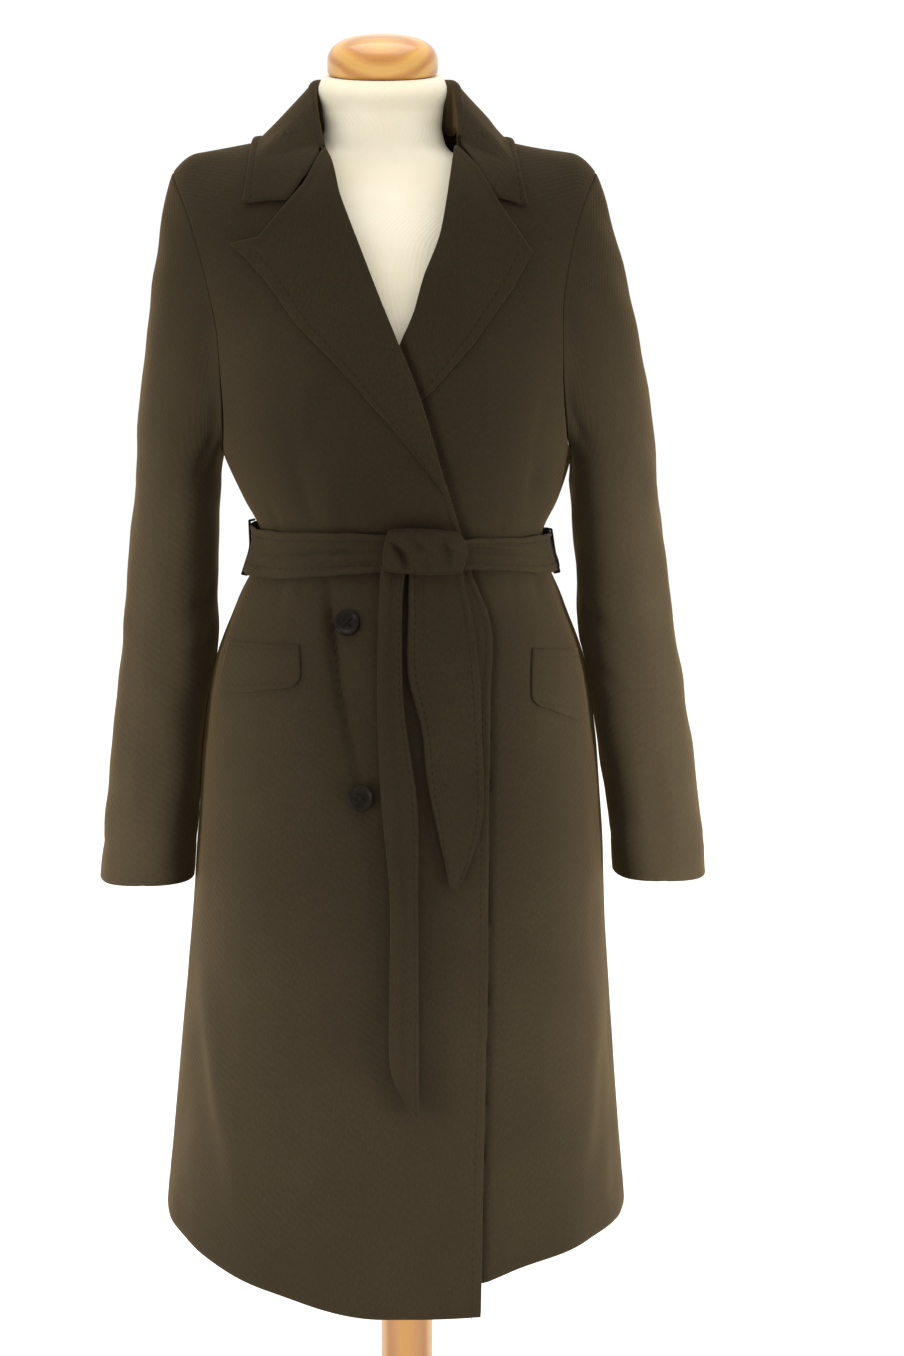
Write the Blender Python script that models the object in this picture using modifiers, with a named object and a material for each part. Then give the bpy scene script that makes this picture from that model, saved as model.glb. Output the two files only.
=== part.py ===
"""Wrap coat with notched lapels and a tie belt, worn on a limbless dress form.

Sizes are in metres. The foot of the stand is on Z = 0, the coat faces -Y, and +X is the wearer's left.
Every cloth piece is a wall of even thickness laid over one skin, which the section table below describes.
"""

import math

import bpy
import numpy as np
from mathutils import Vector

# Cloth
WALL = 0.0025
COLLAR_WALL = 0.0022
BELT_WALL = 0.0040
TAIL_WALL = 0.0030
FLAP_WALL = 0.0030
LOOP_WALL = 0.0020
SEAM = 0.0008
PLY = 0.0032
UNDER_TUCK = 0.0030
LAPEL_LIFT = 0.0038
SQUARE = 2.4

# Lap of the fronts: where the outer one rises over the edge under it, and where the under one gives way
LAP_RISE = (-0.045, -0.005)
LAP_TUCK = (-0.030, -0.006)
LAP_FALL = 0.020
LAPEL_UNDER_LOW = (1.050, 1.100)
LAPEL_UNDER_HIGH = (1.215, 1.280)
TUCK_END = (1.200, 1.240)

# Shoulder arch and slope
ARCH_FOOT = 1.300
ARCH_TOP = 1.388
ARCH_POWER = 2.5
SLOPE_START = 0.064
SLOPE = 0.170
PAD_START = 0.165
PAD_ROUND = 26.0
SLOPE_LOW = 1.200
SLOPE_HIGH = 1.330

# Hem and hollow of the armhole
HEM = 0.418
HEM_EASE = 0.620
HEM_DIP_OVER = 0.0565
HEM_DIP_UNDER = 0.0440
HEM_FLAT_OVER = -0.020
HEM_FLAT_UNDER = -0.009
HEM_CURVE_OVER = 1.0
HEM_CURVE_UNDER = 1.8
HEM_BEND = 1.5
HEM_OVER = (HEM_DIP_OVER, HEM_FLAT_OVER, HEM_CURVE_OVER)
HEM_UNDER = (HEM_DIP_UNDER, HEM_FLAT_UNDER, HEM_CURVE_UNDER)
ARMPIT = 1.105
NECK_HALF = 0.064
BACK_NECK_DROP = 0.010
BACK_NECK_EASE = 0.030

# Stand
POLE_RADIUS = 0.024
BASE_RADIUS = 0.195
BASE_HEIGHT = 0.026
BASE_ROUND = 0.006
BASE_CHAMFER = 0.0015
NECK_TILT = math.radians(10.5)
NECK_TILT_LOW = 1.385
REST_GAP = 0.0003

# Skin of the coat: one row for each level
BODY_COLUMNS = ("level", "half_width", "front", "back", "centre_x", "mid_y")
BODY = (
    (0.355, 0.2145, 0.1710, 0.1650, -0.0095, 0.000),
    (0.418, 0.2115, 0.1700, 0.1620, -0.0095, 0.000),
    (0.480, 0.2055, 0.1685, 0.1580, -0.0090, 0.000),
    (0.560, 0.1985, 0.1660, 0.1540, -0.0085, 0.000),
    (0.680, 0.1880, 0.1590, 0.1480, -0.0070, 0.000),
    (0.780, 0.1820, 0.1515, 0.1430, -0.0048, 0.000),
    (0.860, 0.1765, 0.1425, 0.1360, -0.0048, 0.000),
    (0.930, 0.1640, 0.1260, 0.1220, -0.0046, 0.000),
    (0.975, 0.1465, 0.1090, 0.1040, -0.0042, 0.000),
    (1.035, 0.1265, 0.0950, 0.0890, -0.0025, 0.000),
    (1.065, 0.1405, 0.1070, 0.0960, -0.0033, 0.000),
    (1.105, 0.1555, 0.1210, 0.1040, -0.0060, 0.000),
    (1.160, 0.1640, 0.1280, 0.1100, -0.0090, 0.001),
    (1.220, 0.1725, 0.1220, 0.1130, -0.0120, 0.002),
    (1.290, 0.1880, 0.1090, 0.1070, -0.0155, 0.003),
    (1.340, 0.1950, 0.0990, 0.0990, -0.0170, 0.004),
    (1.388, 0.1960, 0.0900, 0.0920, -0.0175, 0.004),
)

# Armhole: distance of the cut edge from the middle of the coat at each level
ARMHOLE_COLUMNS = ("level", "front", "back")
ARMHOLE = (
    (1.105, 0.1555, 0.1555),
    (1.109, 0.1540, 0.1546),
    (1.118, 0.1518, 0.1532),
    (1.135, 0.1500, 0.1520),
    (1.165, 0.1492, 0.1520),
    (1.200, 0.1500, 0.1535),
    (1.240, 0.1530, 0.1570),
    (1.285, 0.1595, 0.1640),
    (1.325, 0.1680, 0.1725),
    (1.358, 0.1785, 0.1810),
    (1.379, 0.1850, 0.1855),
    (1.388, 0.1870, 0.1870),
)

# Front edges, from the hem up over the roll line of the lapel to the neck point
EDGE_COLUMNS = ("level", "x")
OVER_EDGE = (
    (0.355, 0.0650),
    (0.466, 0.0666),
    (0.642, 0.0722),
    (0.815, 0.0733),
    (0.899, 0.0742),
    (0.966, 0.0740),
    (1.005, 0.0590),
    (1.044, 0.0484),
    (1.101, 0.0321),
    (1.158, 0.0152),
    (1.207, -0.0043),
    (1.241, -0.0179),
    (1.274, -0.0307),
    (1.325, -0.0502),
    (1.370, -0.0655),
    (1.388, -0.0815),
)
UNDER_EDGE = (
    (0.355, -0.0720),
    (0.800, -0.0680),
    (0.970, -0.0660),
    (1.030, -0.0600),
    (1.090, -0.0480),
    (1.150, -0.0260),
    (1.207, -0.0009),
    (1.224, 0.0067),
    (1.258, 0.0168),
    (1.291, 0.0296),
    (1.325, 0.0363),
    (1.343, 0.0389),
    (1.372, 0.0428),
    (1.388, 0.0465),
)

# Largest folds: a soft trough (minus) or ridge from one point to another on a face
FOLD_COLUMNS = ("face", "top_x", "top_z", "low_x", "low_z", "width", "depth")
FOLDS = (
    (-1, -0.0660, 1.000, -0.0385, 0.840, 0.018, -0.0045),
    (-1, -0.1020, 1.150, -0.0770, 1.050, 0.012, -0.0030),
    (-1, 0.1300, 1.200, 0.1100, 1.050, 0.012, -0.0030),
    (-1, -0.1500, 0.800, -0.1380, 0.380, 0.030, 0.0040),
    (-1, -0.0820, 0.700, -0.0900, 0.360, 0.026, -0.0030),
    (-1, 0.1500, 0.800, 0.1480, 0.380, 0.028, 0.0040),
    (-1, 0.1050, 0.720, 0.1020, 0.370, 0.022, -0.0030),
    (1, -0.1250, 0.880, -0.1350, 0.400, 0.032, 0.0060),
    (1, -0.0450, 0.860, -0.0650, 0.400, 0.030, -0.0055),
    (1, 0.0300, 0.900, 0.0350, 0.400, 0.034, 0.0060),
    (1, 0.1150, 0.850, 0.1100, 0.400, 0.028, -0.0050),
    (1, -0.0600, 1.140, -0.0500, 1.050, 0.018, -0.0030),
    (1, 0.0550, 1.140, 0.0400, 1.050, 0.018, -0.0030),
)
FOLD_FADE = 0.060

# Lapels, as x and z: gorge and top edge from the roll line to the tip, then the outer edge to the break
LAPEL_RIGHT_TOP = (
    (-0.0650, 1.3690),
    (-0.0807, 1.3358),
    (-0.0975, 1.3180),
    (-0.1208, 1.2934),
    (-0.1473, 1.2886),
)
LAPEL_RIGHT_EDGE = (
    (-0.1473, 1.2886),
    (-0.1331, 1.2766),
    (-0.1147, 1.2561),
    (-0.0887, 1.2198),
    (-0.0544, 1.1853),
    (-0.0150, 1.1420),
    (0.0130, 1.1090),
    (0.0350, 1.0800),
)
LAPEL_LEFT_TOP = (
    (0.0426, 1.3710),
    (0.0620, 1.3470),
    (0.0805, 1.3200),
    (0.0950, 1.3010),
    (0.1100, 1.2818),
)
LAPEL_LEFT_EDGE = (
    (0.1100, 1.2818),
    (0.0935, 1.2511),
    (0.0593, 1.2029),
    (0.0253, 1.1643),
    (0.0000, 1.1420),
    (-0.0290, 1.1260),
)
LAPEL_BULGE = 0.0050
LAPEL_BULGE_EASE = 0.060
LAPEL_BULGE_PEAK = 0.7
LAPEL_RIGHT_FLAT = 1.090
LAPEL_LEFT_FLAT = 1.225
LAPEL_ROWS = 19
LAPEL_COLUMNS = 8

# Collar: fold line, outer edge and depth of the stand at stations round the neck
COLLAR_COLUMNS = ("roll_x", "roll_y", "roll_z", "edge_x", "edge_y", "edge_z", "stand", "radius")
COLLAR = (
    (-0.0665, -0.0600, 1.3740, -0.1368, -0.0850, 1.3242, 0.0040, 0.0030),
    (-0.0715, -0.0450, 1.3950, -0.1345, -0.0720, 1.3450, 0.0090, 0.0034),
    (-0.0750, -0.0250, 1.4150, -0.1325, -0.0480, 1.3640, 0.0240, 0.0038),
    (-0.0760, 0.0040, 1.4325, -0.1300, 0.0060, 1.3790, 0.0430, 0.0040),
    (-0.0640, 0.0420, 1.4380, -0.1130, 0.0740, 1.3620, 0.0440, 0.0040),
    (-0.0175, 0.0620, 1.4390, -0.0175, 0.1100, 1.3500, 0.0440, 0.0040),
    (0.0290, 0.0420, 1.4380, 0.0770, 0.0740, 1.3620, 0.0440, 0.0040),
    (0.0410, 0.0040, 1.4325, 0.0925, 0.0060, 1.3790, 0.0430, 0.0040),
    (0.0448, -0.0220, 1.4170, 0.0980, -0.0480, 1.3640, 0.0260, 0.0038),
    (0.0468, -0.0380, 1.4000, 0.1025, -0.0720, 1.3450, 0.0100, 0.0034),
    (0.0462, -0.0500, 1.3830, 0.1066, -0.0850, 1.3226, 0.0040, 0.0030),
)
COLLAR_NOTCH_RIGHT = (-0.0984, 1.3195)
COLLAR_NOTCH_LEFT = (0.0799, 1.3213)
COLLAR_NOTCH_AT = 0.56
COLLAR_FALL = (0.18, 0.37, COLLAR_NOTCH_AT, 0.78, 1.0)
COLLAR_ROLL_ROWS = 5
COLLAR_EASE = 0.0014
COLLAR_COLUMNS_ROUND = 36

# Sleeves: one row for each level below the armhole
SLEEVE_COLUMNS = ("level", "right_half", "left_half", "half_depth", "right_x", "left_x", "mid_y")
SLEEVE = (
    (1.080, 0.0372, 0.0388, 0.0660, -0.2030, 0.1866, 0.000),
    (1.000, 0.0398, 0.0412, 0.0635, -0.2090, 0.1950, -0.001),
    (0.930, 0.0405, 0.0420, 0.0610, -0.2150, 0.2040, -0.006),
    (0.860, 0.0400, 0.0415, 0.0575, -0.2230, 0.2155, -0.014),
    (0.790, 0.0408, 0.0415, 0.0535, -0.2288, 0.2240, -0.023),
    (0.715, 0.0418, 0.0420, 0.0490, -0.2345, 0.2315, -0.032),
)
CUFF_RIGHT = 0.7265
CUFF_LEFT = 0.7310
SLEEVE_CAP_OUT = 0.16
SLEEVE_CAP_DOWN = 0.95
SLEEVE_SEAM = 0.0014
SLEEVE_PARTING = 0.0012
SLEEVE_PIT = 0.120
SLEEVE_ROUND = 28
SLEEVE_CAP_STEPS = 5
SLEEVE_TUBE_STEPS = 9

# Belt: height of its lower and upper edge by turn round the waist (0 in front, 90 at the wearer's left)
BELT_COLUMNS = ("turn", "low", "high")
BELT = (
    (-180.0, 1.000, 1.043),
    (-90.0, 0.997, 1.045),
    (-45.0, 0.998, 1.042),
    (-12.0, 1.004, 1.044),
    (0.0, 1.006, 1.042),
    (30.0, 1.007, 1.037),
    (60.0, 1.001, 1.036),
    (90.0, 0.999, 1.037),
    (180.0, 1.000, 1.043),
)
BELT_CROWN = 0.0025
BELT_EASE = 0.0029
BELT_ROUND = 44
BELT_ROWS = 5

# Belt tails and pocket flaps: rows from the top down, from the wearer's right to the left
STRIP_COLUMNS = ("right_x", "right_z", "left_x", "left_z", "lift")
TAIL_LONG = (
    (-0.0165, 1.0010, 0.0030, 1.0010, 0.0105),
    (-0.0176, 0.9500, 0.0006, 0.9500, 0.0080),
    (-0.0178, 0.8880, 0.0020, 0.8880, 0.0065),
    (-0.0143, 0.8120, 0.0118, 0.8120, 0.0060),
    (-0.0076, 0.7370, 0.0124, 0.7330, 0.0060),
    (-0.0080, 0.6600, 0.0126, 0.6500, 0.0060),
    (-0.0086, 0.5863, 0.0130, 0.5600, 0.0060),
    (0.0030, 0.5560, 0.0122, 0.5420, 0.0060),
)
TAIL_FOLD = 0.0068
TAIL_SHORT = (
    (0.0055, 1.0010, 0.0480, 1.0010, 0.0085),
    (0.0050, 0.9700, 0.0560, 0.9700, 0.0070),
    (0.0050, 0.9200, 0.0630, 0.9200, 0.0055),
    (0.0165, 0.8755, 0.0650, 0.8700, 0.0050),
    (0.0200, 0.8400, 0.0664, 0.8373, 0.0050),
    (0.0250, 0.8118, 0.0656, 0.8000, 0.0050),
    (0.0330, 0.7750, 0.0560, 0.7650, 0.0050),
    (0.0400, 0.7420, 0.0450, 0.7380, 0.0050),
)
FLAP_RIGHT = (
    (-0.1540, 0.9430, -0.0890, 0.9440, 0.0016),
    (-0.1585, 0.9220, -0.0880, 0.9280, 0.0020),
    (-0.1640, 0.9000, -0.0870, 0.9090, 0.0020),
)
FLAP_LEFT = (
    (0.1120, 0.9400, 0.1520, 0.9340, 0.0016),
    (0.1115, 0.9150, 0.1575, 0.9050, 0.0020),
    (0.1110, 0.8900, 0.1610, 0.8760, 0.0020),
)
KNOT = (
    (-0.0080, 1.0520, 0.0420, 1.0500, 0.0118),
    (-0.0140, 1.0400, 0.0500, 1.0400, 0.0118),
    (-0.0150, 1.0250, 0.0520, 1.0250, 0.0118),
    (-0.0140, 1.0120, 0.0510, 1.0110, 0.0118),
    (-0.0100, 1.0040, 0.0470, 1.0030, 0.0118),
)
KNOT_HEIGHT = 0.0120
KNOT_RIM = 0.0012
KNOT_COLUMNS = 9
STRIP_ACROSS = 6
FOLDED_ACROSS = 5
FLAP_ACROSS = 7

# Belt loops at the side seams
LOOP_HALF = 0.0045
LOOP_EASE = 0.0014
LOOP_TOP = 1.058
LOOP_LOW = 0.984
LOOP_SLACK = 0.0006
LOOP_STEP = 0.0030

# Buttons
BUTTON_RADIUS = 0.0115
BUTTON_HEIGHT = 0.0040
BUTTON_LIFT = 0.0016
BUTTON_BEVEL = 0.0010
BUTTON_HOLE = 0.0011
BUTTON_HOLE_OUT = 0.0028
BUTTON_ROUND = 28
BUTTON_HOLE_ROUND = 8
BUTTON_UPPER = (-0.0476, 0.9636)
BUTTON_LOWER = (-0.0349, 0.8185)

# Dress form: one ring for each level
FORM_COLUMNS = ("level", "half_width", "front", "back", "centre_x", "mid_y")
FORM = (
    (0.7500, 0.1300, 0.0950, 0.0950, -0.0030, 0.000),
    (0.7560, 0.1420, 0.1060, 0.1060, -0.0030, 0.000),
    (0.7700, 0.1480, 0.1110, 0.1120, -0.0030, 0.000),
    (0.8200, 0.1520, 0.1150, 0.1180, -0.0030, 0.000),
    (0.8800, 0.1460, 0.1080, 0.1140, -0.0028, 0.000),
    (0.9400, 0.1320, 0.0960, 0.1020, -0.0028, 0.000),
    (0.9900, 0.1180, 0.0850, 0.0860, -0.0030, 0.000),
    (1.0300, 0.1120, 0.0810, 0.0770, -0.0030, 0.000),
    (1.0700, 0.1190, 0.0890, 0.0810, -0.0033, 0.000),
    (1.1200, 0.1340, 0.1060, 0.0900, -0.0070, 0.000),
    (1.1700, 0.1440, 0.1120, 0.0960, -0.0100, 0.000),
    (1.2200, 0.1500, 0.1060, 0.1000, -0.0120, 0.001),
    (1.2700, 0.1560, 0.0940, 0.0980, -0.0150, 0.002),
    (1.3000, 0.1560, 0.0840, 0.0930, -0.0160, 0.002),
    (1.3250, 0.1470, 0.0730, 0.0840, -0.0170, 0.002),
    (1.3450, 0.1200, 0.0620, 0.0660, -0.0178, 0.001),
    (1.3580, 0.0920, 0.0550, 0.0550, -0.0182, 0.000),
    (1.3700, 0.0620, 0.0515, 0.0460, -0.0184, -0.001),
    (1.3850, 0.0530, 0.0515, 0.0450, -0.0186, -0.002),
    (1.4050, 0.0530, 0.0520, 0.0490, -0.0187, -0.003),
    (1.4340, 0.0538, 0.0530, 0.0520, -0.0187, -0.004),
    (1.4370, 0.0515, 0.0505, 0.0500, -0.0187, -0.004),
)
FORM_SQUARE = 2.15
FORM_ROUND = 32

# Turned cap on the neck: radius and height above the neck
CAP = (
    (0.0455, 0.0000),
    (0.0478, 0.0015),
    (0.0486, 0.0060),
    (0.0486, 0.0130),
    (0.0470, 0.0200),
    (0.0420, 0.0265),
    (0.0330, 0.0312),
    (0.0200, 0.0340),
    (0.0000, 0.0350),
)
TURNED_STEPS = 40
BASE_STEPS = 48

# Level of the rows of a panel
PANEL_SKIRT = (HEM, 0.470, 0.530, 0.600, 0.670, 0.740, 0.800, 0.850, 0.890, 0.930)
PANEL_WAIST = (0.955, 0.980, 1.000, 1.018, 1.035, 1.052, 1.075, ARMPIT)
PANEL_ARCH = (1.0, 0.91, 0.77, 0.60, 0.42, 0.24, 0.09, 0.0)
FRONT_OVER_COLUMNS = 15
FRONT_UNDER_COLUMNS = 13
BACK_COLUMNS = 18


def column(table, names, name):
    """One named column of a table as an array."""
    return np.array([row[names.index(name)] for row in table], float)


def smooth(table, names, name, at):
    """Value of a column at some place along the first column, by a smooth curve through the rows."""
    places = column(table, names, names[0])
    values = column(table, names, name)
    slopes = np.gradient(values, places)
    at = np.clip(np.asarray(at, float), places[0], places[-1])
    left = np.clip(np.searchsorted(places, at, side="right") - 1, 0, len(places) - 2)
    step = places[left + 1] - places[left]
    t = (at - places[left]) / step
    rise = values[left] * (2 * t**3 - 3 * t**2 + 1) + values[left + 1] * (3 * t**2 - 2 * t**3)
    return rise + step * (slopes[left] * (t**3 - 2 * t**2 + t) + slopes[left + 1] * (t**3 - t**2))


def ease(at, low, high):
    """Zero below low, one above high, with a soft start and end."""
    t = np.clip((np.asarray(at, float) - low) / (high - low), 0.0, 1.0)
    return t * t * (3 - 2 * t)


def body(name, level):
    """A measure of the coat's skin at a level."""
    return smooth(BODY, BODY_COLUMNS, name, level)


def depth(level, face):
    """Depth of the skin in front (-1) or behind (1), closing over the shoulder."""
    rise = np.clip((level - ARCH_FOOT) / (ARCH_TOP - ARCH_FOOT), 0.0, 1.0)
    arch = np.sqrt(np.clip(1.0 - rise**ARCH_POWER, 0.0, 1.0))
    return np.where(face < 0, body("front", level), body("back", level)) * arch


def shoulder_drop(x, level):
    """Fall of the shoulder line towards the sleeve, rounded over the end of the shoulder."""
    out = np.abs(x)
    fall = SLOPE * np.maximum(out - SLOPE_START, 0.0) + PAD_ROUND * np.maximum(out - PAD_START, 0.0) ** 2
    return fall * ease(level, SLOPE_LOW, SLOPE_HIGH)


def skin(turn, level, face):
    """Points of the coat's skin by turn from the middle (radians), level and face."""
    side = np.sin(turn)
    x = body("half_width", level) * np.sign(side) * np.abs(side) ** (2 / SQUARE)
    y = body("mid_y", level) + face * depth(level, face) * np.abs(np.cos(turn)) ** (2 / SQUARE)
    z = level - shoulder_drop(x, level)
    return np.stack(np.broadcast_arrays(body("centre_x", level) + x, y, z), axis=-1)


def skin_normal(turn, level, face):
    """Outward normals of the skin."""
    small_turn = 2e-3
    small_level = 2e-4
    half = math.pi / 2
    across = skin(np.clip(turn + small_turn, -half, half), level, face)
    across = across - skin(np.clip(turn - small_turn, -half, half), level, face)
    up = skin(turn, np.clip(level + small_level, BODY[0][0], ARCH_TOP), face)
    up = up - skin(turn, np.clip(level - small_level, BODY[0][0], ARCH_TOP), face)
    out = np.cross(across, up) * -np.asarray(face, float)[..., None]
    return out / np.maximum(np.linalg.norm(out, axis=-1, keepdims=True), 1e-12)


def fold(points, face):
    """Rise of the largest folds at some points of a face."""
    rise = np.zeros(points.shape[:-1])
    for row in FOLDS:
        here = dict(zip(FOLD_COLUMNS, row))
        along = (here["top_z"] - points[..., 2]) / (here["top_z"] - here["low_z"])
        line = here["top_x"] + (here["low_x"] - here["top_x"]) * np.clip(along, 0.0, 1.0)
        near = np.exp(-(((points[..., 0] - line) / here["width"]) ** 2))
        window = ease(here["top_z"] - points[..., 2], -FOLD_FADE / 2, FOLD_FADE)
        window = window * ease(points[..., 2] - here["low_z"], -FOLD_FADE, FOLD_FADE / 2)
        rise += np.where(face == here["face"], here["depth"] * near * window, 0.0)
    return rise


def lifted(turn, level, face, lift):
    """Skin with its folds, moved out by a lift, with the normals."""
    face = np.broadcast_to(np.asarray(face), np.broadcast(turn, level).shape)
    points = skin(turn, level, face)
    out = skin_normal(turn, level, face)
    rise = fold(points, face) + lift
    points = points + out * rise[..., None]
    ahead = np.maximum(face * (points[..., 1] - body("mid_y", level)), SEAM / 2)
    points[..., 1] = body("mid_y", level) + face * ahead
    return points, out


def turn_at(x, level):
    """Turn of the skin at a distance from the coat's middle."""
    share = np.clip(np.abs(x) / body("half_width", level), 0.0, 1.0)
    return np.sign(x) * np.arcsin(share ** (SQUARE / 2))


def locate(x, z):
    """Turn and level of the skin at a place seen from the front."""
    level = np.array(z, float)
    for _ in range(8):
        level = z + shoulder_drop(x - body("centre_x", level), level)
    return turn_at(x - body("centre_x", level), level), level


def over_lift(x, z):
    """Lift of the lapped front over what lies under it."""
    under = smooth(UNDER_EDGE, EDGE_COLUMNS, "x", z)
    lapped = ease(x - under, *LAP_RISE)
    lapel = ease(z, *LAPEL_UNDER_LOW) * (1 - ease(z, *LAPEL_UNDER_HIGH))
    return lapped * (PLY + LAPEL_LIFT * lapel)


def under_lift(x, z):
    """Lift of the under front, which gives way inwards where the other front laps it."""
    lapped = 1 - ease(x - smooth(OVER_EDGE, EDGE_COLUMNS, "x", z), *LAP_TUCK)
    return -UNDER_TUCK * lapped * (1 - ease(z, *TUCK_END))


def front_lift(x, z):
    """Lift of the outermost front at a place seen from the front."""
    edge = smooth(OVER_EDGE, EDGE_COLUMNS, "x", z)
    return over_lift(x, z) * (1 - ease(x - edge, 0.0, LAP_FALL))


def material(name, colour, roughness):
    """One plain surface finish."""
    made = bpy.data.materials.new(name)
    made.use_nodes = True
    shader = made.node_tree.nodes["Principled BSDF"]
    shader.inputs["Base Color"].default_value = (*colour, 1.0)
    shader.inputs["Roughness"].default_value = roughness
    return made


def add_object(name, vertices, faces, finish):
    """A named object from points and faces."""
    mesh = bpy.data.meshes.new(name)
    mesh.from_pydata([tuple(map(float, v)) for v in vertices], [], faces)
    mesh.validate()
    obj = bpy.data.objects.new(name, mesh)
    PARTS.objects.link(obj)
    mesh.materials.append(finish)
    mesh.polygons.foreach_set("use_smooth", [True] * len(mesh.polygons))
    mesh.update()
    return obj


def grid_faces(rows, columns, closed):
    """Quads of a grid whose columns may close on themselves."""
    faces = []
    for i in range(rows - 1):
        for j in range(columns if closed else columns - 1):
            k = (j + 1) % columns
            faces.append((i * columns + j, i * columns + k, (i + 1) * columns + k, (i + 1) * columns + j))
    return faces


def turned_out(grid, faces, outward):
    """The faces, turned so that they look the way of the given normals."""
    flat = grid.reshape(-1, 3)
    hint = outward.reshape(-1, 3)
    corners = np.array([flat[list(f)] for f in faces])
    normals = np.cross(corners[:, 2] - corners[:, 0], corners[:, 3] - corners[:, 1])
    hints = np.array([hint[list(f)].mean(axis=0) for f in faces])
    if (normals * hints).sum() < 0:
        return [tuple(reversed(f)) for f in faces]
    return faces


def shell(name, grid, outward, wall, finish, closed=False):
    """A wall of even thickness behind a grid of points, which is its outer side."""
    rows, columns = grid.shape[:2]
    faces = turned_out(grid, grid_faces(rows, columns, closed), outward)
    obj = add_object(name, grid.reshape(-1, 3), faces, finish)
    wall_mod = obj.modifiers.new("wall", "SOLIDIFY")
    wall_mod.thickness = wall
    wall_mod.offset = -1.0
    wall_mod.use_quality_normals = True
    return obj


def closed_pair(name, low, high, finish):
    """A solid between two grids of points, closed round its border."""
    rows, columns = low.shape[:2]
    count = rows * columns
    top = turned_out(high, grid_faces(rows, columns, False), high - low)
    bottom = [tuple(reversed([i + count for i in f])) for f in top]
    border = [(0, j) for j in range(columns)]
    border += [(i, columns - 1) for i in range(1, rows)]
    border += [(rows - 1, j) for j in range(columns - 2, -1, -1)]
    border += [(i, 0) for i in range(rows - 2, 0, -1)]
    ring = [i * columns + j for i, j in border]
    edges = {(f[k], f[(k + 1) % 4]) for f in top for k in range(4)}
    sides = []
    for a, b in zip(ring, ring[1:] + ring[:1]):
        quad = (b, a, a + count, b + count) if (a, b) in edges else (a, b, b + count, a + count)
        sides.append(quad)
    points = np.concatenate([high.reshape(-1, 3), low.reshape(-1, 3)])
    return add_object(name, points, top + bottom + sides, finish)


def loft(name, rings, finish):
    """A solid through closed rings from the bottom up, with flat ends."""
    count = len(rings[0])
    faces = grid_faces(len(rings), count, True)
    faces.append(tuple(reversed(range(count))))
    faces.append(tuple(range((len(rings) - 1) * count, len(rings) * count)))
    return add_object(name, np.concatenate(rings), faces, finish)


def turned(name, profile, steps, finish):
    """A turned solid from a profile of radius and height, from the top down at +X."""
    mesh = bpy.data.meshes.new(name)
    mesh.from_pydata([(r, 0.0, h) for r, h in profile], [(i, i + 1) for i in range(len(profile) - 1)], [])
    obj = bpy.data.objects.new(name, mesh)
    PARTS.objects.link(obj)
    mesh.materials.append(finish)
    screw = obj.modifiers.new("turn", "SCREW")
    screw.steps = steps
    screw.render_steps = steps
    screw.use_merge_vertices = True
    screw.merge_threshold = 0.0001
    screw.use_smooth_shade = True
    return obj


def panel_levels():
    """Levels of the rows of a panel, from the hem to the shoulder."""
    arm = [row[0] for row in ARMHOLE if ARMPIT < row[0] < ARCH_FOOT]
    share = np.array(PANEL_ARCH)
    arch = ARCH_FOOT + (ARCH_TOP - ARCH_FOOT) * (1 - share**2) ** (1 / ARCH_POWER)
    return np.concatenate([PANEL_SKIRT, PANEL_WAIST, arm, arch])


def outer_turn(level, face):
    """Turn of a panel's outer edge: the side seam, then the armhole."""
    cut = smooth(ARMHOLE, ARMHOLE_COLUMNS, "front" if face < 0 else "back", level)
    return np.where(level <= ARMPIT, math.pi / 2, turn_at(cut, level))


def hem_level(level, x, side, dip, flat, curve):
    """Level of a row after the hem's dip, which is full from the middle to the flat place."""
    reach = side * body("half_width", HEM) + body("centre_x", HEM) - flat
    share = np.clip((x - flat) / reach, 0.0, 1.0)
    return level - dip * (1 - share**HEM_BEND) ** curve * (1 - ease(level, HEM, HEM_EASE))


def build_front(name, edge_table, side, hem, columns, lift, finish):
    """One front from its edge to the side seam and armhole. Side is -1 for the wearer's right."""
    levels = panel_levels()
    inner = turn_at(smooth(edge_table, EDGE_COLUMNS, "x", levels) - body("centre_x", levels), levels)
    outer = side * outer_turn(levels, -1)
    share = np.linspace(0.0, 1.0, columns)
    turn = inner[:, None] + (outer - inner)[:, None] * share
    level = np.repeat(levels[:, None], columns, axis=1)
    level = hem_level(level, skin(turn, level, -1)[..., 0], side, *hem)
    points = skin(turn, level, -1)
    grid, out = lifted(turn, level, -1, lift(points[..., 0], points[..., 2]))
    return shell(name, grid, out, WALL, finish)


def build_back(finish):
    """The back in one piece, hollowed for the neck."""
    levels = panel_levels()
    outer = outer_turn(levels, 1)
    turn = outer[:, None] * np.linspace(-1.0, 1.0, BACK_COLUMNS + 1)
    level = np.repeat(levels[:, None], BACK_COLUMNS + 1, axis=1)
    x = skin(turn, level, 1)[..., 0] - body("centre_x", level)
    hollow = BACK_NECK_DROP * np.clip(1 - (x / NECK_HALF) ** 2, 0.0, 1.0)
    level = level - hollow * ease(level, ARCH_FOOT - BACK_NECK_EASE, ARCH_TOP)
    grid, out = lifted(turn, level, 1, np.zeros_like(turn))
    return shell("back", grid, out, WALL, finish)


def half_loop(side, face):
    """Cut edge of an armhole from the shoulder to the armpit on one face, with its outward run."""
    levels = panel_levels()
    levels = levels[levels >= ARMPIT][::-1]
    turn = side * outer_turn(levels, face)
    points, _ = lifted(turn, levels, face, np.zeros_like(turn))
    step = side * 4e-3
    limit = math.pi / 2
    run = skin(np.clip(turn + step, -limit, limit), levels, face)
    run = run - skin(np.clip(turn - step, -limit, limit), levels, face)
    run = run / np.linalg.norm(run, axis=-1, keepdims=True)
    return points, run


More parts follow.
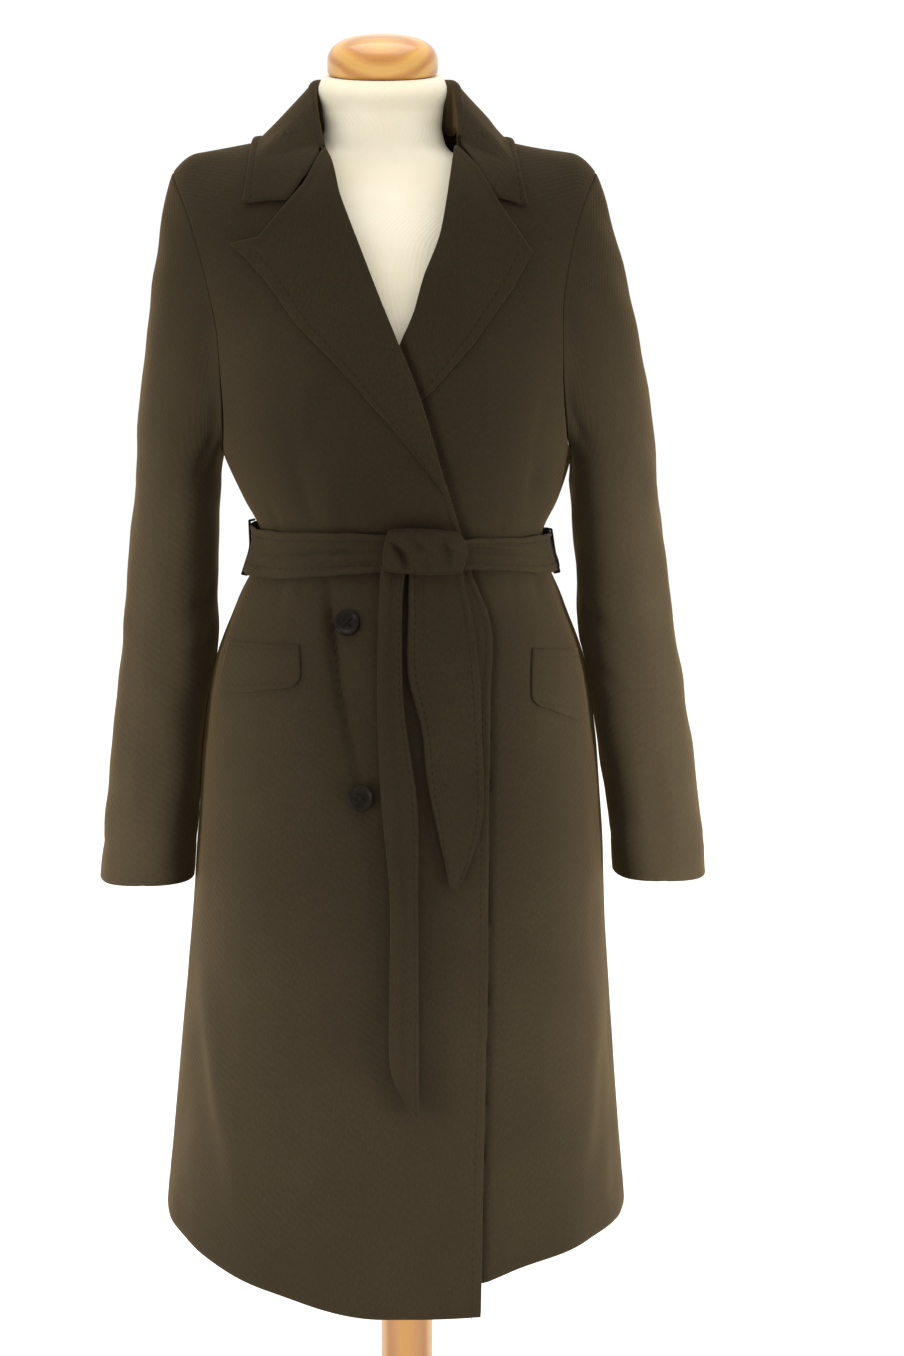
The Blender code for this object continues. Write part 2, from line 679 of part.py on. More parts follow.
def resample(points, others, count):
    """A line of points, and values along it, at even steps of length."""
    length = np.concatenate([[0.0], np.cumsum(np.linalg.norm(np.diff(points, axis=0), axis=1))])
    at = np.linspace(0.0, length[-1], count)
    made = [np.stack([np.interp(at, length, a[:, k]) for k in range(3)], axis=1) for a in (points, others)]
    return made[0], made[1]


def sleeve_ring(level, side):
    """Oval of a sleeve at a level, from its outer side by way of the front."""
    angle = np.arange(SLEEVE_ROUND) * 2 * math.pi / SLEEVE_ROUND
    hand = "right" if side < 0 else "left"
    names = (f"{hand}_x", f"{hand}_half", "mid_y", "half_depth")
    centre, half, mid, deep = (smooth(SLEEVE[::-1], SLEEVE_COLUMNS, name, level) for name in names)
    x = centre + side * half * np.cos(angle)
    y = mid - deep * np.sin(angle)
    return np.stack([x, y, np.full_like(x, level)], axis=1)


def parted(grid, gap):
    """The grid with its first and last column drawn in, which leaves a gap at a seam."""
    grid = grid.copy()
    for edge, inner in ((0, 1), (-1, -2)):
        step = grid[:, inner] - grid[:, edge]
        grid[:, edge] += step / np.linalg.norm(step, axis=1, keepdims=True) * gap
    return grid


def build_sleeve(name, side, finish):
    """A set-in sleeve of two cuts, the top sleeve and the under sleeve, from the armhole to the open cuff."""
    half = SLEEVE_ROUND // 2
    front, front_run = resample(*half_loop(side, -1), half + 1)
    back, back_run = resample(*half_loop(side, 1), half + 1)
    loop = np.concatenate([front, back[half - 1 : 0 : -1]])
    run = np.concatenate([front_run, back_run[half - 1 : 0 : -1]])
    sideways = np.array([side, 0.0, 0.0])
    high = ease(loop[:, 2], ARMPIT, ARMPIT + SLEEVE_PIT)[:, None]
    away = run * high + sideways * (1 - high)
    away = away / np.linalg.norm(away, axis=1, keepdims=True)
    start = loop + away * SLEEVE_SEAM
    first = sleeve_ring(SLEEVE[0][0], side)
    reach = np.linalg.norm(first - start, axis=1, keepdims=True)
    down = np.array([0.0, 0.0, -1.0])
    rings = []
    for t in np.linspace(0.0, 1.0, SLEEVE_CAP_STEPS + 1)[:-1]:
        ring = start * (2 * t**3 - 3 * t**2 + 1) + first * (3 * t**2 - 2 * t**3)
        bend = away * SLEEVE_CAP_OUT * (t**3 - 2 * t**2 + t) + down * SLEEVE_CAP_DOWN * (t**3 - t**2)
        rings.append(ring + reach * bend)
    cuff = CUFF_RIGHT if side < 0 else CUFF_LEFT
    rings += [sleeve_ring(level, side) for level in np.linspace(SLEEVE[0][0], cuff, SLEEVE_TUBE_STEPS + 1)]
    grid = np.stack(rings)
    outward = grid - grid.mean(axis=1, keepdims=True)
    seam_front, seam_back = SLEEVE_ROUND // 4, 3 * SLEEVE_ROUND // 4
    top = np.arange(seam_back, SLEEVE_ROUND + seam_front + 1) % SLEEVE_ROUND
    under = np.arange(seam_front, seam_back + 1)
    for cut, columns in (("top", top), ("under", under)):
        half_grid = parted(grid[:, columns], SLEEVE_PARTING / 2)
        shell(f"{name}_{cut}", half_grid, outward[:, columns], WALL, finish)


def along(outline, share):
    """Points along an outline by share of its length."""
    line = np.array(outline, float)
    length = np.concatenate([[0.0], np.cumsum(np.linalg.norm(np.diff(line, axis=0), axis=1))])
    at = np.asarray(share, float) * length[-1]
    return np.stack([np.interp(at, length, line[:, 0]), np.interp(at, length, line[:, 1])], axis=-1)


def lapel_plan(edge_table, top, edge, rows, columns):
    """Places of a lapel seen from the front, from its roll line to its outer edge."""
    down = np.linspace(0.0, 1.0, rows)
    over = np.linspace(0.0, 1.0, columns)
    z = top[0][1] + (edge[-1][1] - top[0][1]) * down
    roll = np.stack([smooth(edge_table, EDGE_COLUMNS, "x", z), z], axis=-1)
    outer = along(edge, down)
    head = along(top, over)
    straight = np.array(top[0]) + (np.array(top[-1]) - np.array(top[0])) * over[:, None]
    plan = roll[:, None] * (1 - over)[None, :, None] + outer[:, None] * over[None, :, None]
    return plan + (head - straight)[None] * ((1 - down) ** 2)[:, None, None]


def build_lapel(name, edge_table, top, edge, lift, flat_to, finish):
    """A lapel lying on its front."""
    plan = lapel_plan(edge_table, top, edge, LAPEL_ROWS, LAPEL_COLUMNS)
    x, z = plan[..., 0], plan[..., 1]
    over = np.linspace(0.0, 1.0, plan.shape[1])
    bulge = LAPEL_BULGE * np.sin(math.pi * over**LAPEL_BULGE_PEAK)[None, :]
    bulge = bulge * ease(z, flat_to, flat_to + LAPEL_BULGE_EASE)
    turn, level = locate(x, z)
    grid, out = lifted(turn, level, -1, lift(x, z) + LAPEL_LIFT + bulge)
    return shell(name, grid, out, WALL, finish)


def clear_of_skin(points, distance):
    """Points moved out where they come nearer to the coat's skin than a distance."""
    points = points.copy()
    for face in (-1, 1):
        for _ in range(3):
            turn, level = locate(points[..., 0], points[..., 2])
            on_skin, out = lifted(turn, level, face, np.zeros_like(level))
            away = face * (points[..., 1] - on_skin[..., 1]) * np.abs(out[..., 1])
            here = (level < ARCH_TOP - 1e-4) & (face * (points[..., 1] - body("mid_y", level)) > 0)
            push = np.where(here, np.maximum(distance - away, 0.0), 0.0)
            points = points + out * push[..., None]
    return points


def build_collar(finish):
    """The collar: a stand round the neck that rolls over into the fall."""
    stations = np.arange(len(COLLAR), dtype=float)
    table = tuple((k, *row) for k, row in zip(stations, COLLAR))
    names = ("station", *COLLAR_COLUMNS)
    at = np.linspace(0.0, stations[-1], COLLAR_COLUMNS_ROUND + 1)
    value = {name: smooth(table, names, name, at) for name in COLLAR_COLUMNS}
    roll = np.stack([value["roll_x"], value["roll_y"], value["roll_z"]], axis=-1)
    edge = np.stack([value["edge_x"], value["edge_y"], value["edge_z"]], axis=-1)
    out = edge - roll
    out[:, 2] = 0.0
    out = out / np.linalg.norm(out, axis=1, keepdims=True)
    up = np.array([0.0, 0.0, 1.0])
    radius = value["radius"][:, None]
    middle = roll - up * radius
    rows = [middle - up * value["stand"][:, None], middle - up * value["stand"][:, None] / 2]
    for angle in np.linspace(math.pi, 0.0, COLLAR_ROLL_ROWS):
        rows.append(middle + out * radius * (1 + math.cos(angle)) + up * radius * math.sin(angle))
    start = middle + out * radius * 2
    notches = {0: np.array(COLLAR_NOTCH_RIGHT), len(at) - 1: np.array(COLLAR_NOTCH_LEFT)}
    for share in COLLAR_FALL:
        row = start + (edge - start) * share
        knee = min(share / COLLAR_NOTCH_AT, 1.0)
        past = max(share - COLLAR_NOTCH_AT, 0.0) / (1 - COLLAR_NOTCH_AT)
        for station, notch in notches.items():
            first, last = start[station][[0, 2]], edge[station][[0, 2]]
            row[station, [0, 2]] = first + (notch - first) * knee + (last - notch) * past
        rows.append(clear_of_skin(row, PLY + COLLAR_EASE))
    grid = np.stack(rows)
    inward = np.broadcast_to(-out, grid.shape).copy()
    inward[2:] = up
    inward[2 + COLLAR_ROLL_ROWS :] = out + up
    return shell("collar", grid, inward, COLLAR_WALL, finish)


def strip_plan(table, columns):
    """Places of a strip seen from the front, and its lift."""
    share = np.linspace(0.0, 1.0, columns)
    right = np.stack([column(table, STRIP_COLUMNS, n) for n in ("right_x", "right_z")], axis=-1)
    left = np.stack([column(table, STRIP_COLUMNS, n) for n in ("left_x", "left_z")], axis=-1)
    plan = right[:, None] + (left - right)[:, None] * share[None, :, None]
    lift = np.repeat(column(table, STRIP_COLUMNS, "lift")[:, None], columns, axis=1)
    return plan, lift


def on_front(plan, lift):
    """Points over the outermost front, with normals."""
    turn, level = locate(plan[..., 0], plan[..., 1])
    return lifted(turn, level, -1, front_lift(plan[..., 0], plan[..., 1]) + lift)


def build_strip(name, table, wall, columns, finish):
    """A flat strip or flap lying over the front."""
    plan, lift = strip_plan(table, columns)
    grid, out = on_front(plan, lift + wall)
    return shell(name, grid, out, wall, finish)


def build_folded_tail(name, table, finish):
    """A belt tail folded along its length, its fold at the wearer's right."""
    plan, lift = strip_plan(table, FOLDED_ACROSS)
    back, _ = on_front(plan, lift)
    front, out = on_front(plan, lift + TAIL_FOLD)
    turn_in = (front[:, :1] + back[:, :1]) / 2 + (plan_step(front) * -TAIL_FOLD / 2)[:, None]
    grid = np.concatenate([back[:, ::-1], turn_in, front], axis=1)
    outward = np.concatenate([-out[:, ::-1], -plan_step(front)[:, None], out], axis=1)
    return shell(name, grid, outward, TAIL_WALL, finish)


def plan_step(grid):
    """Unit run across each row of a grid."""
    run = grid[:, -1] - grid[:, 0]
    return run / np.linalg.norm(run, axis=1, keepdims=True)


def belt_turns():
    """Turns round the waist, as turn of the skin and its face."""
    turns = np.linspace(-180.0, 180.0, BELT_ROUND + 1)[:-1]
    face = np.where(np.abs(turns) <= 90.0, -1, 1)
    folded = np.where(np.abs(turns) <= 90.0, turns, np.sign(turns) * 180.0 - turns)
    return turns, np.radians(folded), face


def belt_lift(points, face):
    """Lift of the belt's inner side."""
    return np.where(face < 0, front_lift(points[..., 0], points[..., 2]), 0.0) + BELT_EASE


def build_belt(finish):
    """The belt band round the waist."""
    turns, turn, face = belt_turns()
    low = smooth(BELT, BELT_COLUMNS, "low", turns)
    high = smooth(BELT, BELT_COLUMNS, "high", turns)
    rows = []
    outs = []
    for share in np.linspace(0.0, 1.0, BELT_ROWS):
        level = low + (high - low) * share
        crown = BELT_CROWN * (1 - (2 * share - 1) ** 2)
        lift = belt_lift(skin(turn, level, face), face) + BELT_WALL + crown
        points, out = lifted(turn, level, face, lift)
        rows.append(points)
        outs.append(out)
    return shell("belt_band", np.stack(rows), np.stack(outs), BELT_WALL, finish, closed=True)


def build_knot(finish):
    """The knot of the belt, a soft lump over the band."""
    plan, lift = strip_plan(KNOT, KNOT_COLUMNS)
    rows, columns = plan.shape[:2]
    across = np.linspace(-1.0, 1.0, columns)[None, :]
    down = np.linspace(-1.0, 1.0, rows)[:, None]
    height = KNOT_RIM + KNOT_HEIGHT * np.sqrt((1 - across**4) * (1 - down**4))
    low, _ = on_front(plan, lift)
    high, _ = on_front(plan, lift + height)
    return closed_pair("belt_knot", low, high, finish)


def build_loop(name, side, finish):
    """A narrow loop at the side seam that holds the belt."""
    turn = 90.0 * side
    low = float(smooth(BELT, BELT_COLUMNS, "low", turn))
    high = float(smooth(BELT, BELT_COLUMNS, "high", turn))
    over = BELT_EASE + BELT_WALL + BELT_CROWN + LOOP_SLACK
    path = (
        (LOOP_TOP, LOOP_EASE),
        (high + 2 * LOOP_STEP, 3 * LOOP_EASE),
        (high + LOOP_STEP, over - LOOP_STEP),
        (high - LOOP_STEP, over),
        ((low + high) / 2, over + LOOP_SLACK),
        (low + LOOP_STEP, over),
        (low - LOOP_STEP, over - LOOP_STEP),
        (low - 2 * LOOP_STEP, 2 * LOOP_EASE),
        (LOOP_LOW, LOOP_EASE),
    )
    rows = []
    for level, lift in path:
        x = body("centre_x", level) + side * (body("half_width", level) + lift + LOOP_WALL)
        rows.append([(float(x), y, level) for y in (-LOOP_HALF, 0.0, LOOP_HALF)])
    grid = np.array(rows)
    outward = np.broadcast_to(np.array([side, 0.0, 0.0]), grid.shape)
    return shell(name, grid, outward, LOOP_WALL, finish)


def build_button(name, place, finish):
    """A round four-hole button on the lapped front."""
    x, z = np.array([place[0]]), np.array([place[1]])
    point, out = on_front(np.stack([x, z], axis=-1), np.array([BUTTON_LIFT]))
    bpy.ops.mesh.primitive_cylinder_add(vertices=BUTTON_ROUND, radius=BUTTON_RADIUS, depth=BUTTON_HEIGHT)
    obj = bpy.context.object
    obj.name = name
    obj.data.materials.append(finish)
    for polygon in obj.data.polygons:
        polygon.use_smooth = True
    bevel = obj.modifiers.new("rim", "BEVEL")
    bevel.width = BUTTON_BEVEL
    bevel.segments = 1
    bevel.limit_method = "ANGLE"
    for number in range(4):
        angle = math.pi / 4 + number * math.pi / 2
        bpy.ops.mesh.primitive_cylinder_add(
            vertices=BUTTON_HOLE_ROUND, radius=BUTTON_HOLE, depth=3 * BUTTON_HEIGHT
        )
        hole = bpy.context.object
        hole.name = f"{name}_hole_{number}"
        hole.location = (BUTTON_HOLE_OUT * math.cos(angle), BUTTON_HOLE_OUT * math.sin(angle), 0.0)
        hole.hide_render = True
        hole.hide_viewport = True
        move_to(hole, CUTTERS)
        hole.parent = obj
        cut = obj.modifiers.new(f"hole_{number}", "BOOLEAN")
        cut.operation = "DIFFERENCE"
        cut.solver = "EXACT"
        cut.object = hole
    obj.rotation_mode = "QUATERNION"
    normal = out[0]
    obj.rotation_quaternion = Vector(normal).to_track_quat("Z", "Y")
    obj.location = point[0] + normal * BUTTON_HEIGHT / 2
    move_to(obj, PARTS)
    return obj


def move_to(obj, collection):
    """Puts an object in one collection only."""
    for other in list(obj.users_collection):
        other.objects.unlink(obj)
    collection.objects.link(obj)


def neck_tilted(points):
    """Points of the neck, leaning forward with its top."""
    points = points.copy()
    lean = ease(points[:, 2], NECK_TILT_LOW, FORM[-1][0])
    middle = dict(zip(FORM_COLUMNS, FORM[-1]))["mid_y"]
    points[:, 2] += lean * math.tan(NECK_TILT) * (points[:, 1] - middle)
    return points


def build_form(finish):
    """The limbless form, from its flat underside to the top of the neck."""
    angle = np.arange(FORM_ROUND) * 2 * math.pi / FORM_ROUND
    rings = []
    for row in FORM:
        here = dict(zip(FORM_COLUMNS, row))
        side, ahead = np.cos(angle), np.sin(angle)
        x = here["centre_x"] + here["half_width"] * np.sign(side) * np.abs(side) ** (2 / FORM_SQUARE)
        deep = np.where(ahead < 0, here["front"], here["back"])
        y = here["mid_y"] + deep * np.sign(ahead) * np.abs(ahead) ** (2 / FORM_SQUARE)
        rings.append(neck_tilted(np.stack([x, y, np.full_like(x, here["level"])], axis=1)))
    return loft("form_torso", rings, finish)


def build_cap(finish):
    """The turned cap on the neck."""
    obj = turned("neck_cap", [*reversed(CAP), (0.0, 0.0)], TURNED_STEPS, finish)
    here = dict(zip(FORM_COLUMNS, FORM[-1]))
    obj.rotation_euler = (NECK_TILT, 0.0, 0.0)
    obj.location = (here["centre_x"], here["mid_y"], here["level"] + REST_GAP)
    return obj


def build_stand(finish):
    """The pole and the plain round base."""
    shoulder = BASE_ROUND * (1 - math.sqrt(0.5))
    profile = (
        (0.0, BASE_HEIGHT),
        (BASE_RADIUS - BASE_ROUND, BASE_HEIGHT),
        (BASE_RADIUS - shoulder, BASE_HEIGHT - shoulder),
        (BASE_RADIUS, BASE_HEIGHT - BASE_ROUND),
        (BASE_RADIUS, BASE_CHAMFER),
        (BASE_RADIUS - BASE_CHAMFER, 0.0),
        (0.0, 0.0),
    )
    turned("base", profile, BASE_STEPS, finish)
    low, high = BASE_HEIGHT + REST_GAP, FORM[0][0] - REST_GAP
    turned("pole", [(0.0, high), (POLE_RADIUS, high), (POLE_RADIUS, low), (0.0, low)], TURNED_STEPS, finish)


for old in list(bpy.data.objects):
    bpy.data.objects.remove(old, do_unlink=True)
PARTS = bpy.data.collections.new("wrap_coat_on_dress_form")
CUTTERS = bpy.data.collections.new("cutters")
for made in (PARTS, CUTTERS):
    bpy.context.scene.collection.children.link(made)

WOOL = material("dark_wool", (0.030, 0.024, 0.017), 0.90)
JERSEY = material("ivory_jersey", (0.80, 0.73, 0.58), 0.85)
WOOD = material("varnished_wood", (0.62, 0.34, 0.10), 0.35)
HORN = material("button_plastic", (0.020, 0.017, 0.015), 0.25)

build_stand(WOOD)
build_form(JERSEY)
build_cap(WOOD)
build_front("front_left", UNDER_EDGE, 1, HEM_UNDER, FRONT_UNDER_COLUMNS, under_lift, WOOL)
build_front("front_right", OVER_EDGE, -1, HEM_OVER, FRONT_OVER_COLUMNS, over_lift, WOOL)
build_back(WOOL)
build_sleeve("sleeve_right", -1, WOOL)
build_sleeve("sleeve_left", 1, WOOL)
build_lapel("lapel_left", UNDER_EDGE, LAPEL_LEFT_TOP, LAPEL_LEFT_EDGE, under_lift, LAPEL_LEFT_FLAT, WOOL)
build_lapel("lapel_right", OVER_EDGE, LAPEL_RIGHT_TOP, LAPEL_RIGHT_EDGE, over_lift, LAPEL_RIGHT_FLAT, WOOL)
build_collar(WOOL)
build_strip("pocket_flap_right", FLAP_RIGHT, FLAP_WALL, FLAP_ACROSS, WOOL)
build_strip("pocket_flap_left", FLAP_LEFT, FLAP_WALL, FLAP_ACROSS, WOOL)
build_belt(WOOL)
build_loop("belt_loop_right", -1, WOOL)
build_loop("belt_loop_left", 1, WOOL)
build_knot(WOOL)
build_folded_tail("belt_tail_long", TAIL_LONG, WOOL)
build_strip("belt_tail_short", TAIL_SHORT, TAIL_WALL, STRIP_ACROSS, WOOL)
build_button("button_upper", BUTTON_UPPER, HORN)
build_button("button_lower", BUTTON_LOWER, HORN)
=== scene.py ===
"""Looks of a dark wrap coat on a limbless dress form.

Every cloth piece is a thin wall laid over one skin of the coat, with its creases placed one by one. Sizes are
in metres, +Z is up, the coat faces -Y and +X is the wearer's left.
"""

import logging
import math
from dataclasses import dataclass, field
from enum import Enum

import bmesh
import bpy
import numpy as np
from mathutils import Matrix, Vector
from mathutils.bvhtree import BVHTree


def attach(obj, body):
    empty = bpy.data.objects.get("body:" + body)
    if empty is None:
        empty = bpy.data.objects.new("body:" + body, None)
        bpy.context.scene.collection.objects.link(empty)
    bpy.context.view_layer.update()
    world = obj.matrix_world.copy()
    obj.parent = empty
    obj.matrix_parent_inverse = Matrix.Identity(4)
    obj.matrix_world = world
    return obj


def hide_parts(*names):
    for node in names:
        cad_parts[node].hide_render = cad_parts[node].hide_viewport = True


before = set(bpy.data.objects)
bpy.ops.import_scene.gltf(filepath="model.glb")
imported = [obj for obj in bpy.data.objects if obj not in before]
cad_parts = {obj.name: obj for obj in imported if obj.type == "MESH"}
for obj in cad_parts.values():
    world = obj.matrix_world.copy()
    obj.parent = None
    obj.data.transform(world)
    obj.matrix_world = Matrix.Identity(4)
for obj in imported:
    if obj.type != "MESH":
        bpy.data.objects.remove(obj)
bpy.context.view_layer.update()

Array = np.ndarray
Pair = tuple[Array, Array]
Material = bpy.types.Material
Piece = bpy.types.Object
Tree = bpy.types.NodeTree
Node = bpy.types.Node
Span = tuple[float, float]
Line = tuple[Span, ...]
Rows = tuple[tuple[float, ...], ...]
LOG = logging.getLogger("wrap_coat")
QUARTER = math.pi / 2
UP = np.array([0.0, 0.0, 1.0])
# Distances in from a free edge at which the cloth has extra lines of points, so that it can turn softly.
EDGE_LINES = (0.0012, 0.003, 0.0052, 0.0066, 0.008, 0.011)
SEAM_LINES = (0.002, 0.005)
# Hand stitches run this far in from an edge, and pull the cloth into a groove this wide.
STITCH_IN = 0.0066
GROOVE_WIDTH = 0.0022
# A wave texture turns twenty radians for each unit of its scale, so this scale gives one wave a metre.
WAVE_UNIT = 2 * math.pi / 20


class Face(Enum):
    """The face of the coat that a place is on."""

    FRONT = -1
    BACK = 1


class Side(Enum):
    """The wearer's side of the coat."""

    RIGHT = -1
    LEFT = 1


class Held(Enum):
    """How a sheet of cloth is held in its form."""

    HUNG = "hung"
    FOLDED = "folded"
    GATHERED = "gathered"
    LAID = "laid"


class Slot(Enum):
    """The record's material slots."""

    WOOL = "dark_wool"
    JERSEY = "ivory_jersey"
    WOOD = "varnished_wood"
    BUTTON = "button_plastic"


def linear(code: str) -> tuple[float, float, float, float]:
    """Turns an sRGB hex colour to linear light.

    Args:
        code: six hex digits after a hash.

    Returns:
        Red, green, blue and an alpha of one.
    """
    shares = [int(code[k : k + 2], 16) / 255 for k in (1, 3, 5)]
    light = [s / 12.92 if s <= 0.04045 else ((s + 0.055) / 1.055) ** 2.4 for s in shares]
    return (light[0], light[1], light[2], 1.0)


def ease(at: Array | float, low: float, high: float) -> Array:
    """Rises softly from zero below low to one above high.

    Args:
        at: the places to read.
        low: where the rise starts.
        high: where the rise ends.

    Returns:
        Shares from zero to one.
    """
    share = np.clip((np.asarray(at, float) - low) / (high - low), 0.0, 1.0)
    return share * share * (3 - 2 * share)


def bell(away: Array, width: float) -> Array:
    """Gives a soft bump: one at no distance away, fading over a width."""
    return np.exp(-((away / width) ** 2))


@dataclass(frozen=True)
class Unevenness:
    """The small unevenness that soft cloth has: its height, its usual wave and a fixed seed."""

    size: float
    wave: float
    seed: int
    count: int = 7

    def at(self, points: Array, more: int = 0) -> Array:
        """Measures it, the same for all that lies at one place.

        Args:
            points: places in space.
            more: a number to add to the seed.

        Returns:
            Rises at the points.
        """
        numbers = np.random.default_rng(self.seed + more)
        rise = np.zeros(points.shape[:-1])
        for _ in range(self.count):
            way = numbers.normal(size=3)
            way = way / np.linalg.norm(way) * 2 * math.pi / (self.wave * numbers.uniform(0.7, 1.5))
            rise += np.sin(points @ way + numbers.uniform(0.0, 2 * math.pi))
        return rise * self.size / math.sqrt(self.count)


def unit(vectors: Array) -> Array:
    """Gives vectors of length one."""
    return vectors / np.maximum(np.linalg.norm(vectors, axis=-1, keepdims=True), 1e-12)


def push_out(points: Array, cloth: BVHTree, distance: float) -> Array:
    """Gives the moves that bring points far enough out of a cloth.

    Args:
        points: the points.
        cloth: search shape of the cloth.
        distance: least distance.

    Returns:
        The moves.
    """
    moves = []
    for point in map(Vector, points.reshape(-1, 3)):
        spot, out, _, _ = cloth.find_nearest(point)
        moves.append(np.array(out) * max(distance - (point - spot).dot(out), 0.0))
    return np.reshape(moves, points.shape)


def rolled(middle: Array, beyond: Array, out: Array, radius: float, angles: Array) -> Pair:
    """Rolls cloth round a line.

    Args:
        middle: points of the line.
        beyond: ways past the edge there.
        out: outward normals there.
        radius: radius of the roll.
        angles: turns from the way past the edge.

    Returns:
        The points, a column for each angle, and their outward normals.
    """
    ways = np.stack([beyond * math.cos(a) + out * math.sin(a) for a in angles], axis=1)
    return middle[:, None] + ways * radius, ways


def run_length(points: Array, axis: int) -> Array:
    """Measures a grid of points along its rows or columns.

    Args:
        points: a grid of points.
        axis: zero to measure down the rows, one to measure across the columns.

    Returns:
        The length from the first point along that axis, for every point.
    """
    step = np.linalg.norm(np.diff(points, axis=axis), axis=-1)
    start = np.zeros_like(np.take(step, [0], axis=axis))
    return np.concatenate([start, np.cumsum(step, axis=axis)], axis=axis)


def spread(count: int, length: float, near: tuple[float, ...] = (), far: tuple[float, ...] = ()) -> Array:
    """Spaces lines across a cloth, with extra ones at set distances from its edges.

    Args:
        count: even steps across the cloth.
        length: width of the cloth.
        near: distances of the extra lines from the first edge.
        far: distances of the extra lines from the last edge.

    Returns:
        Rising shares from zero to one.
    """
    lines = np.linspace(0.0, 1.0, count + 1)
    low = max(near, default=0.0) / length
    high = 1 - max(far, default=0.0) / length
    gap = 0.4 / count
    inner = lines[(lines > low + gap) & (lines < high - gap)]
    extra = [d / length for d in near] + [1 - d / length for d in far]
    return np.unique(np.concatenate([[0.0, 1.0], inner, extra]))


@dataclass(frozen=True)
class Table:
    """Rows of sizes with named columns, read anywhere along the first column."""

    names: tuple[str, ...]
    rows: Rows

    def column(self, name: str) -> Array:
        """Gives one named column."""
        place = self.names.index(name)
        return np.array([row[place] for row in self.rows], float)

    def at(self, name: str, place: Array | float) -> Array:
        """Reads a column by a smooth curve through its rows.

        Args:
            name: the column to read.
            place: places along the first column.

        Returns:
            The column's values there.
        """
        places, values = self.column(self.names[0]), self.column(name)
        slopes = np.gradient(values, places)
        place = np.clip(np.asarray(place, float), places[0], places[-1])
        left = np.clip(np.searchsorted(places, place, side="right") - 1, 0, len(places) - 2)
        step = places[left + 1] - places[left]
        t = (place - places[left]) / step
        value = values[left] * (2 * t**3 - 3 * t**2 + 1) + values[left + 1] * (3 * t**2 - 2 * t**3)
        return value + step * (slopes[left] * (t**3 - 2 * t**2 + t) + slopes[left + 1] * (t**3 - t**2))


@dataclass(frozen=True)
class Crease:
    """One crease: a line on the cloth, its width, and its depth (minus for a trough)."""

    path: Line
    width: float
    depth: float
    peak: float

    def rise(self, across: Array, along: Array) -> Array:
        """Measures the crease at places on the cloth.

        Args:
            across: first coordinate of the places.
            along: second coordinate of the places.

        Returns:
            How far the crease lifts the cloth there.
        """
        line = np.array(self.path, float)
        starts = run_length(line, 0)
        legs = np.diff(starts)
        nearest = np.full(np.shape(across), np.inf)
        share = np.zeros(np.shape(across))
        for start, end, leg, before in zip(line[:-1], line[1:], legs, starts):
            way = (end - start) / leg
            at = np.clip((across - start[0]) * way[0] + (along - start[1]) * way[1], 0.0, leg)
            away = np.hypot(across - start[0] - way[0] * at, along - start[1] - way[1] * at)
            share = np.where(away < nearest, (before + at) / starts[-1], share)
            nearest = np.minimum(away, nearest)
        taper = np.ones_like(share)
        if self.peak > 0:
            taper = taper * ease(share, 0.0, self.peak)
        if self.peak < 1:
            taper = taper * (1 - ease(share, self.peak, 1.0))
        return self.depth * bell(nearest, self.width) * taper


Creases = tuple[Crease, ...]


def mm(*rows: tuple[float, ...]) -> Rows:
    """Turns rows of millimetres to metres."""
    return tuple(tuple(value / 1000 for value in row) for row in rows)


def crease_rows(*rows: tuple[float, ...]) -> Creases:
    """Makes creases from rows of sizes in millimetres.

    Args:
        *rows: width, depth, peak (a share of the length) and the two coordinates of each place on its line.

    Returns:
        The creases.
    """
    made = []
    for width, depth, peak, *places in rows:
        made.append(Crease(mm(*zip(places[::2], places[1::2])), width / 1000, depth / 1000, peak))
    return tuple(made)


def creased(creases: Creases, across: Array, along: Array) -> Array:
    """Adds up creases at places on a cloth.

    Args:
        creases: the creases of the cloth.
        across: first coordinate of the places.
        along: second coordinate of the places.

    Returns:
        How far the creases lift the cloth there.
    """
    return sum((c.rise(across, along) for c in creases), np.zeros(np.shape(across)))


def feed(tree: Tree, node: Node, settings: dict, links: dict) -> Node:
    """Sets a node's values and its incoming links.

    Args:
        tree: the tree that holds the node.
        node: the node.
        settings: values by attribute name, or by input name or number, and the stops of a colour ramp.
        links: sockets, or nodes for their first output, by input name or number.

    Returns:
        The node.
    """
    for name, value in settings.items():
        if name == "stops":
            stops = node.color_ramp.elements
            while len(stops) < len(value):
                stops.new(1.0)
            for stop, (place, code) in zip(stops, value):
                stop.position, stop.color = place, linear(code)
        elif isinstance(name, str) and hasattr(node, name):
            setattr(node, name, value)
        else:
            node.inputs[name].default_value = value
    for name, source in links.items():
        socket = source.outputs[0] if isinstance(source, Node) else source
        tree.links.new(socket, node.inputs[name])
    return node


def add_node(tree: Tree, kind: str, settings: dict | None = None, links: dict | None = None):
    """Adds one node.

    Args:
        tree: the tree that gets the node.
        kind: Blender's name for the node.
        settings: its values, as for feed.
        links: its incoming links, as for feed.

    Returns:
        The new node.
    """
    return feed(tree, tree.nodes.new(kind), settings or {}, links or {})


@dataclass(frozen=True)
class Finish:
    """A surface finish, known by its name."""

    name: str

    def make(self) -> Material:
        """Makes the material.

        Returns:
            The material.
        """
        made = bpy.data.materials.new(self.name)
        made.use_nodes = True
        self.paint(made.node_tree, made.node_tree.nodes["Principled BSDF"])
        return made

    def paint(self, tree: Tree, shader: Node) -> None:
        """Adds the finish's own nodes; each finish has its own."""
        raise NotImplementedError


